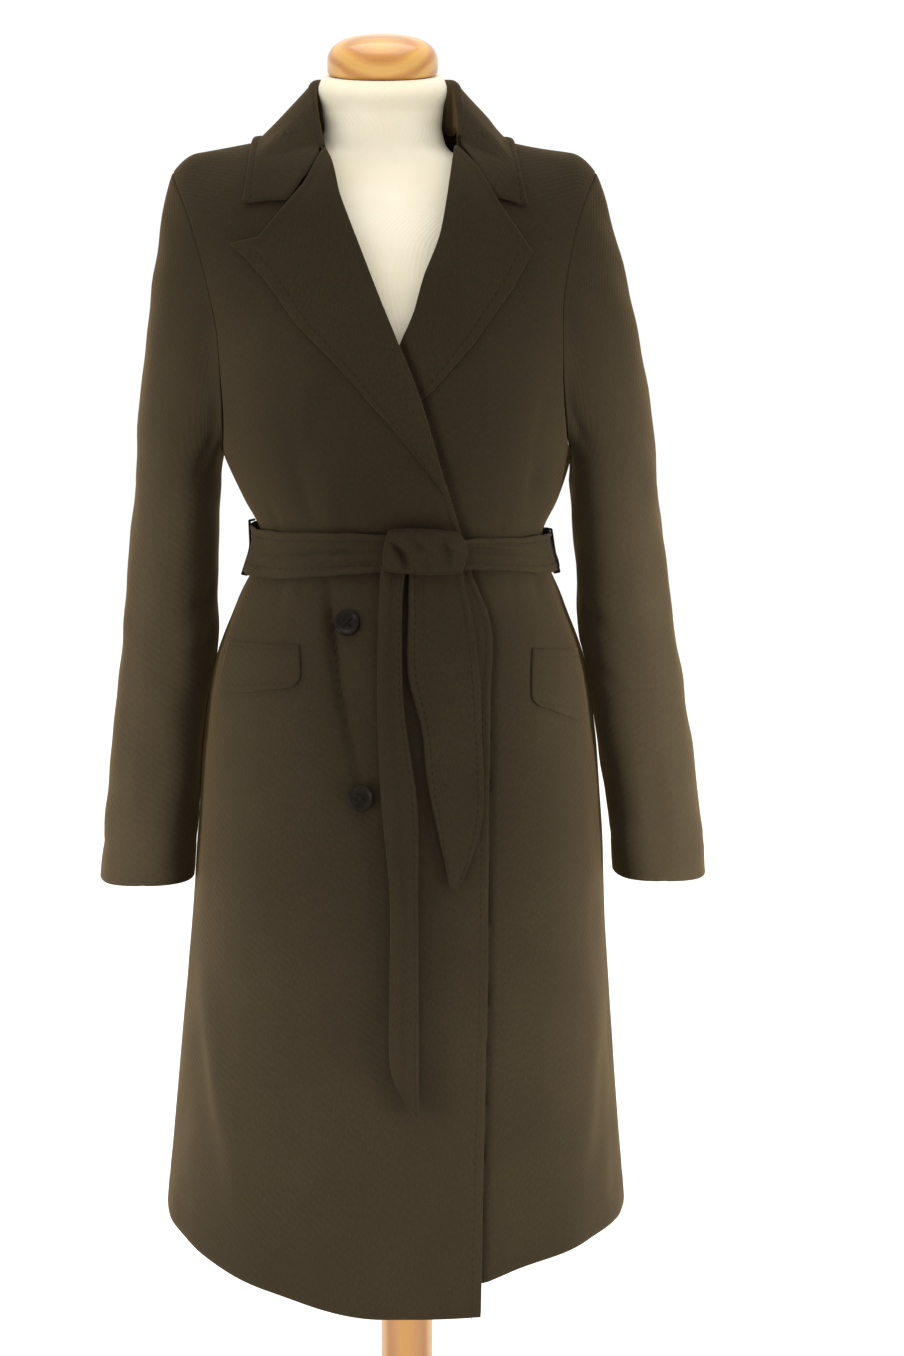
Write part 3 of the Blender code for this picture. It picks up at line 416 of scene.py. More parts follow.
@dataclass(frozen=True)
class FeltedWool(Finish):
    """Double-faced wool, milled and brushed: dull, deep brown-black, with a pale haze of fibre at its rim."""

    name: str = "felted_double_faced_wool"
    deep: str = "#221c12"
    middle: str = "#282115"
    pale: str = "#2f281a"
    sheen: str = "#b2915c"
    haze: float = 0.3
    nap_mm: float = 1.7
    cloud_mm: float = 90.0
    twill_mm: float = 5.132
    twill_turn: float = math.radians(58)

    def paint(self, tree: Tree, shader: Node) -> None:
        """Adds clouded colour, brushed nap and a faint diagonal of the weave."""
        place = add_node(tree, "ShaderNodeTexCoord").outputs["Object"]
        uv = add_node(tree, "ShaderNodeUVMap", {"uv_map": "cut"})
        clouds = {"Scale": 1000 / self.cloud_mm, "Detail": 3.0}
        cloud = add_node(tree, "ShaderNodeTexNoise", clouds, {"Vector": place})
        # The nap is finer than a pixel of the render, so it is drawn several times coarser than real fibre.
        stretch = add_node(tree, "ShaderNodeMapping", {"Scale": (1.0, 0.42, 1.0)}, {"Vector": uv})
        fibres = {"Scale": 1000 / self.nap_mm, "Detail": 4.0, "Roughness": 0.62}
        nap = add_node(tree, "ShaderNodeTexNoise", fibres, {"Vector": stretch})
        # The weave shows through the nap as soft diagonals, drawn several times coarser than the yarn.
        turn = add_node(tree, "ShaderNodeMapping", {"Rotation": (0.0, 0.0, self.twill_turn)}, {"Vector": uv})
        weave = {"Distortion": 1.6, "Detail": 2.0, "Detail Scale": 2.0}
        weave["Scale"] = WAVE_UNIT * 1000 / self.twill_mm
        twill = add_node(tree, "ShaderNodeTexWave", weave, {"Vector": turn})
        tone = add_node(tree, "ShaderNodeMath", {"operation": "MULTIPLY_ADD", 1: 0.4}, {0: cloud, 2: nap})
        stops = ((0.45, self.deep), (0.72, self.middle), (1.0, self.pale))
        ramp = add_node(tree, "ShaderNodeValToRGB", {"stops": stops}, {"Fac": tone})
        rough = add_node(tree, "ShaderNodeMapRange", {"To Min": 0.86, "To Max": 1.0}, {"Value": nap})
        mixed = {0: twill.outputs[1], 2: nap}
        height = add_node(tree, "ShaderNodeMath", {"operation": "MULTIPLY_ADD", 1: 0.35}, mixed)
        bump = add_node(tree, "ShaderNodeBump", {"Strength": 0.55, "Distance": 0.0006}, {"Height": height})
        constants = {"Specular IOR Level": 0.09, "Sheen Weight": self.haze, "Sheen Roughness": 0.36}
        constants["Sheen Tint"] = linear(self.sheen)
        feed(tree, shader, constants, {"Base Color": ramp, "Roughness": rough, "Normal": bump})


@dataclass(frozen=True)
class StretchedJersey(Finish):
    """Fine knitted cover stretched over padding: matt ivory with faint lengthwise ribs."""

    name: str = "stretched_cotton_jersey"
    light: str = "#e2d9c4"
    dark: str = "#dad0b6"
    rib_mm: float = 4.343
    cloud_mm: float = 60.0

    def paint(self, tree: Tree, shader: Node) -> None:
        """Adds soft clouds and lengthwise ribs."""
        place = add_node(tree, "ShaderNodeTexCoord").outputs["Object"]
        uv = add_node(tree, "ShaderNodeUVMap", {"uv_map": "cut"})
        clouds = {"Scale": 1000 / self.cloud_mm, "Detail": 4.0}
        cloud = add_node(tree, "ShaderNodeTexNoise", clouds, {"Vector": place})
        # The ribs are drawn several times coarser than a real stitch, so that they show.
        waves = {"Scale": WAVE_UNIT * 1000 / self.rib_mm, "Distortion": 0.6, "Detail": 1.0}
        ribs = add_node(tree, "ShaderNodeTexWave", waves, {"Vector": uv}).outputs[1]
        stops = ((0.3, self.dark), (0.62, self.light))
        ramp = add_node(tree, "ShaderNodeValToRGB", {"stops": stops}, {"Fac": cloud})
        bump = add_node(tree, "ShaderNodeBump", {"Strength": 0.25, "Distance": 0.0004}, {"Height": ribs})
        constants = {"Roughness": 0.88, "Specular IOR Level": 0.2}
        feed(tree, shader, constants, {"Base Color": ramp, "Normal": bump})


@dataclass(frozen=True)
class VarnishedWood(Finish):
    """Turned pale hardwood under clear varnish: honey colour, fine long grain, a wet shine."""

    name: str = "varnished_turned_wood_upright"
    light: str = "#cd9a46"
    warm: str = "#bf8230"
    dark: str = "#aa6d26"
    ring_mm: float = 13.817
    bend_mm: float = 45.45
    grain_mm: float = 1.6
    upright: bool = True

    def paint(self, tree: Tree, shader: Node) -> None:
        """Adds grain along the turned axis or across it."""
        place = add_node(tree, "ShaderNodeTexCoord").outputs["Object"]
        lie = (1.0, 1.0, 0.06) if self.upright else (0.08, 1.0, 1.0)
        lean = (0.0, 0.0, 0.0) if self.upright else (math.radians(52), 0.0, math.radians(5))
        grain = add_node(tree, "ShaderNodeMapping", {"Scale": lie, "Rotation": lean}, {"Vector": place})
        bends = {"Scale": 1000 / self.bend_mm, "Detail": 2.0}
        bend = add_node(tree, "ShaderNodeTexNoise", bends, {"Vector": grain}).outputs[1]
        lines = {"Scale": 1000 / self.grain_mm, "Detail": 3.0}
        fine = add_node(tree, "ShaderNodeTexNoise", lines, {"Vector": grain})
        pushed = {"operation": "MULTIPLY_ADD", 1: (0.014, 0.014, 0.014)}
        push = add_node(tree, "ShaderNodeVectorMath", pushed, {0: bend, 2: grain})
        # The year rings are drawn wider than in most wood, so that they show.
        bands = {"wave_type": "BANDS", "bands_direction": "Y", "Distortion": 1.2}
        bands["Scale"] = WAVE_UNIT * 1000 / self.ring_mm
        rings = add_node(tree, "ShaderNodeTexWave", bands, {"Vector": push}).outputs[1]
        tone = add_node(tree, "ShaderNodeMath", {"operation": "MULTIPLY_ADD", 1: 0.4}, {0: fine, 2: rings})
        stops = ((0.05, self.dark), (0.45, self.warm), (1.0, self.light))
        ramp = add_node(tree, "ShaderNodeValToRGB", {"stops": stops}, {"Fac": tone})
        bump = add_node(tree, "ShaderNodeBump", {"Strength": 0.08, "Distance": 0.0003}, {"Height": fine})
        constants = {"Roughness": 0.38, "Coat Weight": 0.55, "Coat Roughness": 0.12}
        feed(tree, shader, constants, {"Base Color": ramp, "Normal": bump})


@dataclass(frozen=True)
class Clouded(Finish):
    """A surface with soft clouds of two colours and no other pattern."""

    dark: str
    light: str
    cloud_mm: float
    cloud_detail: float
    cloud_bend: float
    places: Span
    rough: float
    shine: float

    def paint(self, tree: Tree, shader: Node) -> None:
        """Adds the clouds and the shine."""
        place = add_node(tree, "ShaderNodeTexCoord").outputs["Object"]
        clouds = {"Scale": 1000 / self.cloud_mm, "Detail": self.cloud_detail, "Distortion": self.cloud_bend}
        cloud = add_node(tree, "ShaderNodeTexNoise", clouds, {"Vector": place})
        stops = tuple(zip(self.places, (self.dark, self.light)))
        ramp = add_node(tree, "ShaderNodeValToRGB", {"stops": stops}, {"Fac": cloud})
        feed(tree, shader, {"Roughness": self.rough, "Specular IOR Level": self.shine}, {"Base Color": ramp})


@dataclass(frozen=True)
class PolishedButton(Clouded):
    """Cast and polished button resin: near black, with faint horn clouding and a hard small shine."""

    name: str = "polished_button_resin"
    dark: str = "#0e0a06"
    light: str = "#1d150d"
    cloud_mm: float = 6.0
    cloud_detail: float = 4.0
    cloud_bend: float = 1.4
    places: Span = (0.4, 0.72)
    rough: float = 0.24
    shine: float = 0.09


@dataclass(frozen=True)
class SewingThread(Clouded):
    """Spun thread, a shade darker than the wool that it holds, uneven from ply to ply."""

    name: str = "spun_sewing_thread"
    dark: str = "#15110b"
    light: str = "#1e1810"
    cloud_mm: float = 0.8
    cloud_detail: float = 2.0
    cloud_bend: float = 0.0
    places: Span = (0.35, 0.7)
    rough: float = 0.85
    shine: float = 0.12


@dataclass(frozen=True)
class StudioFloor(Finish):
    """Matt white studio floor with a faint glow of its own, so that it burns out to white."""

    name: str = "matt_white_floor"
    colour: str = "#fbfaf7"
    glow: float = 0.25

    def paint(self, tree: Tree, shader: Node) -> None:
        """Adds the colour and the glow."""
        white = linear(self.colour)
        glow = {"Emission Color": white, "Emission Strength": self.glow}
        feed(tree, shader, {"Base Color": white, "Roughness": 0.9, **glow}, {})


@dataclass(frozen=True)
class Finishes:
    """Every material of the scene, made once."""

    wool: Material
    belt: Material
    jersey: Material
    wood_upright: Material
    wood_flat: Material
    button: Material
    thread: Material
    floor: Material

    @classmethod
    def made(cls) -> "Finishes":
        """Makes them all."""
        return cls(
            FeltedWool().make(),
            # The belt is pressed flat, so less fibre stands up at its edges.
            FeltedWool(name="pressed_double_faced_wool", haze=0.1).make(),
            StretchedJersey().make(),
            VarnishedWood(light="#9e7331", warm="#915f21", dark="#82511a").make(),
            VarnishedWood(name="varnished_turned_wood_flat", upright=False).make(),
            PolishedButton().make(),
            SewingThread().make(),
            StudioFloor().make(),
        )


def new_object(name: str, mesh: bpy.types.Mesh, finish: Material) -> Piece:
    """Puts a mesh in the scene with its finish.

    Args:
        name: name of the piece.
        mesh: its mesh, already in place.
        finish: its material.

    Returns:
        The object.
    """
    obj = bpy.data.objects.new(name, mesh)
    bpy.context.scene.collection.objects.link(obj)
    mesh.materials.clear()
    mesh.materials.append(finish)
    mesh.polygons.foreach_set("use_smooth", np.ones(len(mesh.polygons), bool))
    mesh.update()
    return obj


def quads(flat: Array, columns: int) -> Pair:
    """Lists the faces of a grid of points, with the flat place of each of their corners.

    Args:
        flat: flat place of every point, with one more column where the grid closes on itself.
        columns: columns of points.

    Returns:
        Four point numbers for each face, and the flat places.
    """
    i, j = np.meshgrid(np.arange(flat.shape[0] - 1), np.arange(flat.shape[1] - 1), indexing="ij")
    k = (j + 1) % columns
    faces = np.stack([i * columns + j, i * columns + k, (i + 1) * columns + k, (i + 1) * columns + j], -1)
    maps = np.stack([flat[i, j], flat[i, j + 1], flat[i + 1, j + 1], flat[i + 1, j]], -2)
    return faces.reshape(-1, 4), maps.reshape(-1, 4, 2)


def surface(name: str, points: Array, faces: Array, corners: Array, finish: Material) -> Piece:
    """Makes an object of quads with a map of the flat cut.

    Args:
        name: name of the piece.
        points: its points.
        faces: four point numbers for each face.
        corners: flat place of each corner of each face.
        finish: its material.

    Returns:
        The object.
    """
    mesh = bpy.data.meshes.new(name)
    mesh.from_pydata(points.tolist(), [], faces.tolist())
    layer = mesh.uv_layers.new(name="cut")
    layer.data.foreach_set("uv", np.ascontiguousarray(corners, np.float32).ravel())
    return new_object(name, mesh, finish)


@dataclass
class ClothWall:
    """A thin wall of cloth behind a grid of points, with soft rounded edges all round."""

    grid: Array
    out: Array
    wall: float
    wrap: bool = False
    edge: float = 0.0005
    press: float = 0.22
    sewn_sides: bool = False
    sharp: float = math.radians(70)

    def cut_map(self) -> Array:
        """Gives the flat place of every grid point, with one more column on a tube."""
        grid = np.concatenate([self.grid, self.grid[:, :1]], axis=1) if self.wrap else self.grid
        across = run_length(grid, 1)
        across = across - across[:, across.shape[1] // 2][:, None]
        along = np.repeat(run_length(grid, 0).mean(axis=1)[:, None], grid.shape[1], axis=1)
        return np.stack([across, along], axis=-1)

    def rings(self) -> list[list[tuple[int, int]]]:
        """Lists the grid places along each free edge, in the order in which the faces run."""
        rows, columns = self.grid.shape[:2]
        if self.wrap:
            low = [(0, j) for j in range(columns + 1)]
            high = [(rows - 1, j) for j in range(columns, -1, -1)]
            return [low, high]
        ring = [(0, j) for j in range(columns)]
        ring += [(i, columns - 1) for i in range(1, rows)]
        ring += [(rows - 1, j) for j in range(columns - 2, -1, -1)]
        ring += [(i, 0) for i in range(rows - 2, -1, -1)]
        return [ring]

    def build(self, name: str, finish: Material) -> Piece:
        """Makes the closed wall.

        Args:
            name: name of the piece.
            finish: material of the cloth.

        Returns:
            The object.
        """
        rows, columns = self.grid.shape[:2]
        flat = self.cut_map()
        top, top_map = quads(flat, columns)
        outer = self.grid.copy()
        inner = outer - self.out * self.wall
        count = rows * columns
        points, faces, maps = [None, None], [top, top[:, ::-1] + count], [top_map, top_map[:, ::-1]]
        total = 2 * count
        for ring in self.rings():
            spots = [(a, b % columns) for a, b in ring[:-1]]
            number = np.array([a * columns + b for a, b in spots])
            inward = np.array([(min(max(a, 1), rows - 2), b) for a, b in spots])
            if not self.wrap:
                inward[:, 1] = np.clip(inward[:, 1], 1, columns - 2)
            edge_out = self.out.reshape(-1, 3)[number]
            away = self.grid.reshape(-1, 3)[number] - self.grid[inward[:, 0], inward[:, 1]]
            away = unit(away - edge_out * (away * edge_out).sum(axis=1, keepdims=True))
            sewn = self.sewn_sides & np.array([b in (0, columns - 1) for _, b in spots])
            free = np.where(sewn, 0.0, 1.0)[:, None]
            middle = self.grid.reshape(-1, 3)[number] - edge_out * self.wall / 2 + away * self.edge * free
            outer.reshape(-1, 3)[number] -= edge_out * self.wall * self.press * free
            inner.reshape(-1, 3)[number] += edge_out * self.wall * self.press * free
            rim = np.arange(len(spots)) + total
            after, rim_after = np.roll(number, -1), np.roll(rim, -1)
            faces.append(np.stack([after, number, rim, rim_after], -1))
            faces.append(np.stack([rim_after, rim, number + count, after + count], -1))
            here = np.array([flat[a, b] for a, b in ring[:-1]])
            there = np.array([flat[a, b] for a, b in ring[1:]])
            maps += [np.stack([there, here, here, there], -2)] * 2
            points.append(middle)
            total += len(spots)
        points[0], points[1] = outer.reshape(-1, 3), inner.reshape(-1, 3)
        faces, maps = np.concatenate(faces), np.concatenate(maps)
        corner = self.grid.reshape(-1, 3)[top]
        facing = np.cross(corner[:, 2] - corner[:, 0], corner[:, 3] - corner[:, 1])
        if (facing * self.out.reshape(-1, 3)[top].mean(axis=1)).sum() < 0:
            faces, maps = faces[:, ::-1], maps[:, ::-1]
        piece = surface(name, np.concatenate(points), faces, maps, finish)
        piece.data.set_sharp_from_angle(angle=self.sharp)
        return piece


@dataclass(frozen=True)
class Cut:
    """The flat cut of a cloth piece: width, length and area of what shows, and how it is held."""

    width: float
    length: float
    area: float
    held: Held
    rests_on: tuple[str, ...] = ("form_torso",)


@dataclass
class Wardrobe:
    """Hands finished pieces to the frame and keeps count of them."""

    finishes: Finishes
    count: int = 0

    def take(self, piece: Piece, slot: Slot, *nodes: str) -> Piece:
        """Lets a piece ride on the stand and stand for its solids.

        Args:
            piece: the finished piece.
            slot: the record's slot for its finish; not used.
            *nodes: the solids that it replaces.

        Returns:
            The piece.
        """
        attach(piece, "root")
        if nodes:
            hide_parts(*nodes)
        self.count += 1
        LOG.info("%s: %d faces", piece.name, len(piece.data.polygons))
        return piece

    def sew(self, node: str, cut: Cut, wall: ClothWall, finish: Material | None = None) -> None:
        """Makes a cloth piece and logs the area of its cut beside the piece's own.

        Args:
            node: the solid that it replaces.
            cut: its flat cut.
            wall: its shape.
            finish: its material, if it is not the coat's wool.
        """
        piece = self.take(wall.build(f"{node}_cloth", finish or self.finishes.wool), Slot.WOOL, node)
        area = sum(p.area for p in piece.data.polygons) / 2
        LOG.info("%s: cut %.4f of %.4f square metres", piece.name, cut.area, area)

    def stitch(self, rows: "StitchRows") -> None:
        """Makes rows of stitches."""
        self.take(rows.build(self.finishes.thread), Slot.WOOL)


@dataclass
class StitchRows:
    """Rows of small hand stitches along lines on the cloth, laid by one tree of nodes."""

    name: str
    spacing: float = 0.0065
    length: float = 0.0034
    thickness: float = 0.0006
    seed: int = 11
    lines: list[Array] = field(default_factory=list)

    def tree(self) -> Tree:
        """Makes the tree: the lines are cut to even steps and every step gets a stitch.

        Returns:
            The tree, whose sizes are named inputs.
        """
        tree = bpy.data.node_groups.new(f"{self.name}_tree", "GeometryNodeTree")
        face = tree.interface
        face.new_socket("Geometry", in_out="INPUT", socket_type="NodeSocketGeometry")
        for name in ("Spacing", "Length", "Thickness"):
            face.new_socket(name, in_out="INPUT", socket_type="NodeSocketFloat")
        face.new_socket("Thread", in_out="INPUT", socket_type="NodeSocketMaterial")
        face.new_socket("Geometry", in_out="OUTPUT", socket_type="NodeSocketGeometry")
        given = add_node(tree, "NodeGroupInput").outputs
        curve = add_node(tree, "GeometryNodeMeshToCurve", {}, {"Mesh": given["Geometry"]})
        steps = {"Curve": curve, "Length": given["Spacing"]}
        even = add_node(tree, "GeometryNodeResampleCurve", {"mode": "LENGTH"}, steps)
        plain = {"Vertices": 6, "Side Segments": 2, "Radius": 0.5, "Depth": 1.0}
        stitch = add_node(tree, "GeometryNodeMeshCylinder", plain)
        tangent = add_node(tree, "GeometryNodeInputTangent")
        turn = add_node(tree, "FunctionNodeAlignRotationToVector", {"axis": "Z"}, {"Vector": tangent})
        vary = add_node(
            tree, "FunctionNodeRandomValue", {"data_type": "FLOAT", 2: 0.8, 3: 1.2, "Seed": self.seed},
        )
        lengths = {0: vary.outputs[1], 1: given["Length"]}
        long = add_node(tree, "ShaderNodeMath", {"operation": "MULTIPLY"}, lengths)
        sizes = {0: given["Thickness"], 1: given["Thickness"], 2: long}
        size = add_node(tree, "ShaderNodeCombineXYZ", {}, sizes)
        set_out = {"Points": even, "Instance": stitch, "Rotation": turn, "Scale": size}
        placed = add_node(tree, "GeometryNodeInstanceOnPoints", {}, set_out)
        real = add_node(tree, "GeometryNodeRealizeInstances", {}, {0: placed})
        dressed = add_node(
            tree, "GeometryNodeSetMaterial", {}, {"Geometry": real, "Material": given["Thread"]},
        )
        add_node(tree, "NodeGroupOutput", {}, {0: dressed})
        return tree

    def build(self, thread: Material) -> Piece:
        """Makes all the rows one plain mesh.

        Args:
            thread: material of the stitches.

        Returns:
            The object.
        """
        guide = bpy.data.meshes.new(f"{self.name}_guide")
        starts = np.cumsum([0] + [len(line) for line in self.lines])
        edges = [(s + k, s + k + 1) for s, line in zip(starts, self.lines) for k in range(len(line) - 1)]
        guide.from_pydata(np.concatenate(self.lines).tolist(), edges, [])
        carrier = bpy.data.objects.new(f"{self.name}_guide", guide)
        bpy.context.scene.collection.objects.link(carrier)
        laid = carrier.modifiers.new("stitches", "NODES")
        laid.node_group = self.tree()
        values = {
            "Spacing": self.spacing, "Length": self.length, "Thickness": self.thickness, "Thread": thread,
        }
        for item in laid.node_group.interface.items_tree:
            if item.in_out == "INPUT" and item.name in values:
                laid[item.identifier] = values[item.name]
        bpy.context.view_layer.update()
        graph = bpy.context.evaluated_depsgraph_get()
        mesh = bpy.data.meshes.new_from_object(carrier.evaluated_get(graph))
        carrier.modifiers.remove(laid)
        bpy.data.objects.remove(carrier, do_unlink=True)
        mesh.name = self.name
        return new_object(self.name, mesh, thread)


@dataclass(frozen=True)
class Skin:
    """The surface that the whole coat lies on, by turn from its middle, level and face."""

    wall: float = 0.0025
    seam: float = 0.0008
    ply: float = 0.0032
    under_tuck: float = 0.003
    edge_line_depth: float = 0.0042
    edge_line_width: float = 0.0032
    edge_line_at: float = 0.0015
    lapel_lift: float = 0.0038
    square: float = 2.4
    arch_foot: float = 1.3
    arch_top: float = 1.388
    arch_power: float = 2.5
    slope_start: float = 0.064
    slope: float = 0.17
    pad_start: float = 0.165
    pad_round: float = 26.0
    slope_levels: Span = (1.2, 1.33)
    armpit: float = 1.105
    lap_rise: Span = (-0.045, -0.005)
    lap_tuck: Span = (-0.03, -0.006)
    lap_fall: float = 0.02
    lapel_under_low: Span = (1.05, 1.1)
    lapel_under_high: Span = (1.215, 1.28)
    tuck_end: Span = (1.2, 1.24)
    fold_fade: float = 0.06
    uneven: Unevenness = Unevenness(0.0006, 0.055, 3)
    seam_ease: Span = (0.02, 0.25)
    arch_rows: int = 26
    search_rows_apart: float = 0.006
    search_columns: int = 120
    body: Table = Table(
        ("level", "half_width", "front", "back", "centre_x", "mid_y"),
        mm(
            (355, 214.5, 171, 165, -9.5, 0), (418, 211.5, 170, 162, -9.5, 0),
            (480, 205.5, 168.5, 158, -9, 0), (560, 198.5, 166, 154, -8.5, 0), (680, 188, 159, 148, -7, 0),
            (780, 182, 151.5, 143, -4.8, 0), (860, 176.5, 142.5, 136, -4.8, 0),
            (930, 164, 126, 122, -4.6, 0), (975, 146.5, 109, 104, -4.2, 0), (1035, 126.5, 95, 89, -2.5, 0),
            (1065, 140.5, 107, 96, -3.3, 0), (1105, 155.5, 121, 104, -6, 0), (1160, 164, 128, 110, -9, 1),
            (1220, 172.5, 122, 113, -12, 2), (1290, 188, 109, 107, -15.5, 3), (1340, 195, 99, 99, -17, 4),
            (1388, 196, 90, 92, -17.5, 4),
        ),
    )
    armhole: Table = Table(
        ("level", "front", "back"),
        mm(
            (1105, 155.5, 155.5), (1109, 154, 154.6), (1118, 151.8, 153.2), (1135, 150, 152),
            (1165, 149.2, 152), (1200, 150, 153.5), (1240, 153, 157), (1285, 159.5, 164),
            (1325, 168, 172.5), (1358, 178.5, 181), (1379, 185, 185.5), (1388, 187, 187),
        ),
    )
    over_edge: Table = Table(
        ("level", "x"),
        mm(
            (355, 65), (466, 66.6), (642, 72.2), (815, 73.3), (899, 74.2), (966, 74), (1005, 59),
            (1044, 48.4), (1101, 32.1), (1158, 15.2), (1207, -4.3), (1241, -17.9), (1274, -30.7),
            (1325, -50.2), (1370, -65.5), (1388, -81.5),
        ),
    )
    under_edge: Table = Table(
        ("level", "x"),
        mm(
            (355, -72), (800, -68), (970, -66), (1030, -60), (1090, -48), (1150, -26), (1207, -0.9),
            (1224, 6.7), (1258, 16.8), (1291, 29.6), (1325, 36.3), (1343, 38.9), (1372, 42.8), (1388, 46.5),
        ),
    )
    # Each large fold has the x and z of its top, the x and z of its foot, its width and its depth.
    folds: Rows = mm(
        (-66, 1000, -38.5, 840, 18, -4.5), (-102, 1150, -77, 1050, 12, -3), (130, 1200, 110, 1050, 12, -3),
        (-150, 800, -138, 380, 30, 4), (-82, 700, -90, 360, 26, -3), (150, 800, 148, 380, 28, 4),
        (105, 720, 102, 370, 22, -3),
    )
    back_folds: Rows = mm(
        (-125, 880, -135, 400, 32, 6), (-45, 860, -65, 400, 30, -5.5), (30, 900, 35, 400, 34, 6),
        (115, 850, 110, 400, 28, -5), (-60, 1140, -50, 1050, 18, -3), (55, 1140, 40, 1050, 18, -3),
    )
    creases: Creases = crease_rows(
        (3.6, -7.2, 0.3, -68.5, 1030, -60, 950, -53.4, 902, -39.8, 846, -18.4, 757),
        (8, 2.4, 0.2, -77, 994, -71, 930, -59, 870),
        (5.5, -2.6, 0.85, -104, 1140, -90, 1085, -77.4, 1044),
        (5, -2.4, 1, -123, 1085, -112, 1046),
        (5, -1.4, 1, -55, 1100, -48, 1047),
        (6.5, -3, 0.75, 131, 1195, 117.7, 1101, 109.9, 1041),
        (5, -1.6, 1, 88, 1090, 84, 1040),
        (12, 6.2, 0.45, -183, 700, -160, 562, -133, 400),
        (12, 5.6, 0.45, 172, 690, 160, 560, 148, 420),
        (4.5, -2.8, 0, 117, 998, 123, 960),
        (5, -1.8, 0, 95, 1000, 101, 935),
        (4.8, -2, 0, -106, 998, -114, 950),
        (4.2, -1.5, 0, -88, 997, -90, 968),
        (4.2, -1.4, 0, -36, 1000, -34, 975),
        (5, -1, 0.5, -150, 885, -120, 878, -95, 884),
        (16, -1.6, 0.4, 80, 870, 86, 700, 84, 520),
        (15, 1.8, 0.5, -100, 780, -112, 640, -116, 500),
    )
    back_creases: Creases = crease_rows(
        (5.5, -3.3, 0, -101, 1000, -118, 930),
        (6, -3.9, 0, -72, 1000, -78, 900),
        (5, -2.7, 0, -38, 1000, -40, 955),
        (6, -3.6, 0, 6, 1000, 2, 910),
        (5, -3, 0, 44, 1000, 52, 940),
        (6, -3.9, 0, 78, 1000, 93, 905),
        (5.5, -3.6, 0, -90, 1046, -105, 1110),
        (6, -3.9, 0, -50, 1046, -52, 1130),
        (5, -2.4, 0, -14, 1046, -18, 1090),
        (6, -3.3, 0, 25, 1046, 28, 1120),
        (5.5, -3.6, 0, 68, 1046, 82, 1105),
        (12, -2.1, 0.3, -100, 1250, -60, 1215, -20, 1205),
        (12, -2.1, 0.3, 75, 1245, 40, 1210, 0, 1200),
    )

    def measure(self, name: str, level: Array | float) -> Array:
        """Reads a size of the skin at a level."""
        return self.body.at(name, level)

    def depth(self, level: Array, face: Array) -> Array:
        """Gives the depth of the skin in front or behind, closing over the shoulder."""
        rise = np.clip((level - self.arch_foot) / (self.arch_top - self.arch_foot), 0.0, 1.0)
        arch = np.sqrt(np.clip(1.0 - rise**self.arch_power, 0.0, 1.0))
        return np.where(face < 0, self.measure("front", level), self.measure("back", level)) * arch

    def drop(self, x: Array, level: Array) -> Array:
        """Gives the fall of the shoulder line towards the sleeve."""
        out = np.abs(x)
        fall = self.slope * np.maximum(out - self.slope_start, 0.0)
        fall = fall + self.pad_round * np.maximum(out - self.pad_start, 0.0) ** 2
        return fall * ease(level, *self.slope_levels)

    def bare(self, turn: Array, level: Array, face: Array | int) -> Array:
        """Gives points of the skin with no folds.

        Args:
            turn: turn from the middle, in radians.
            level: level before the shoulder falls.
            face: minus one in front, one behind.

        Returns:
            The points.
        """
        side = np.sin(turn)
        x = self.measure("half_width", level) * np.sign(side) * np.abs(side) ** (2 / self.square)
        ahead = self.depth(level, np.asarray(face)) * np.abs(np.cos(turn)) ** (2 / self.square)
        y = self.measure("mid_y", level) + face * ahead
        z = level - self.drop(x, level)
        return np.stack(np.broadcast_arrays(self.measure("centre_x", level) + x, y, z), axis=-1)

    def normal(self, turn: Array, level: Array, face: Array) -> Array:
        """Gives outward normals of the bare skin."""
        turn_step, level_step, low = 2e-3, 2e-4, self.body.rows[0][0]
        across = self.bare(np.clip(turn + turn_step, -QUARTER, QUARTER), level, face)
        across = across - self.bare(np.clip(turn - turn_step, -QUARTER, QUARTER), level, face)
        rise = self.bare(turn, np.clip(level + level_step, low, self.arch_top), face)
        rise = rise - self.bare(turn, np.clip(level - level_step, low, self.arch_top), face)
        return unit(np.cross(across, rise) * -np.asarray(face, float)[..., None])

    def fold(self, points: Array, face: Array) -> Array:
        """Gives the rise of the largest folds and of the listed creases at points of the bare skin."""
        x, z = points[..., 0], points[..., 2]
        rise = np.zeros(x.shape)
        faces = ((Face.FRONT, self.folds, self.creases), (Face.BACK, self.back_folds, self.back_creases))
        for side, folds, creases in faces:
            here = np.zeros(x.shape)
            for top_x, top_z, low_x, low_z, width, depth in folds:
                line = top_x + (low_x - top_x) * np.clip((top_z - z) / (top_z - low_z), 0.0, 1.0)
                window = ease(top_z - z, -self.fold_fade / 2, self.fold_fade)
                window = window * ease(z - low_z, -self.fold_fade, self.fold_fade / 2)
                here += depth * bell(x - line, width) * window
            rise += np.where(face == side.value, here + creased(creases, x, z), 0.0)
        return rise

    def lifted(self, turn: Array, level: Array, face: Array | int, lift: Array | float) -> Pair:
        """Gives the folded skin moved out by a lift.

        Args:
            turn: turn from the middle, in radians.
            level: level before the shoulder falls.
            face: minus one in front, one behind.
            lift: distance to move out.

        Returns:
            The points and the outward normals.
        """
        face = np.broadcast_to(np.asarray(face), np.broadcast(turn, level).shape)
        points = self.bare(turn, level, face)
        out = self.normal(turn, level, face)
        inside = ease(np.abs(np.cos(turn)), *self.seam_ease)
        rise = self.fold(points, face) + self.uneven.at(points) * inside
        points = points + out * (rise + lift)[..., None]
        mid = self.measure("mid_y", level)
        points[..., 1] = mid + face * np.maximum(face * (points[..., 1] - mid), self.seam / 2)
        return points, out

    def turn_at(self, x: Array, level: Array) -> Array:
        """Gives the turn at a distance from the coat's middle."""
        share = np.clip(np.abs(x) / self.measure("half_width", level), 0.0, 1.0)
        return np.sign(x) * np.arcsin(share ** (self.square / 2))

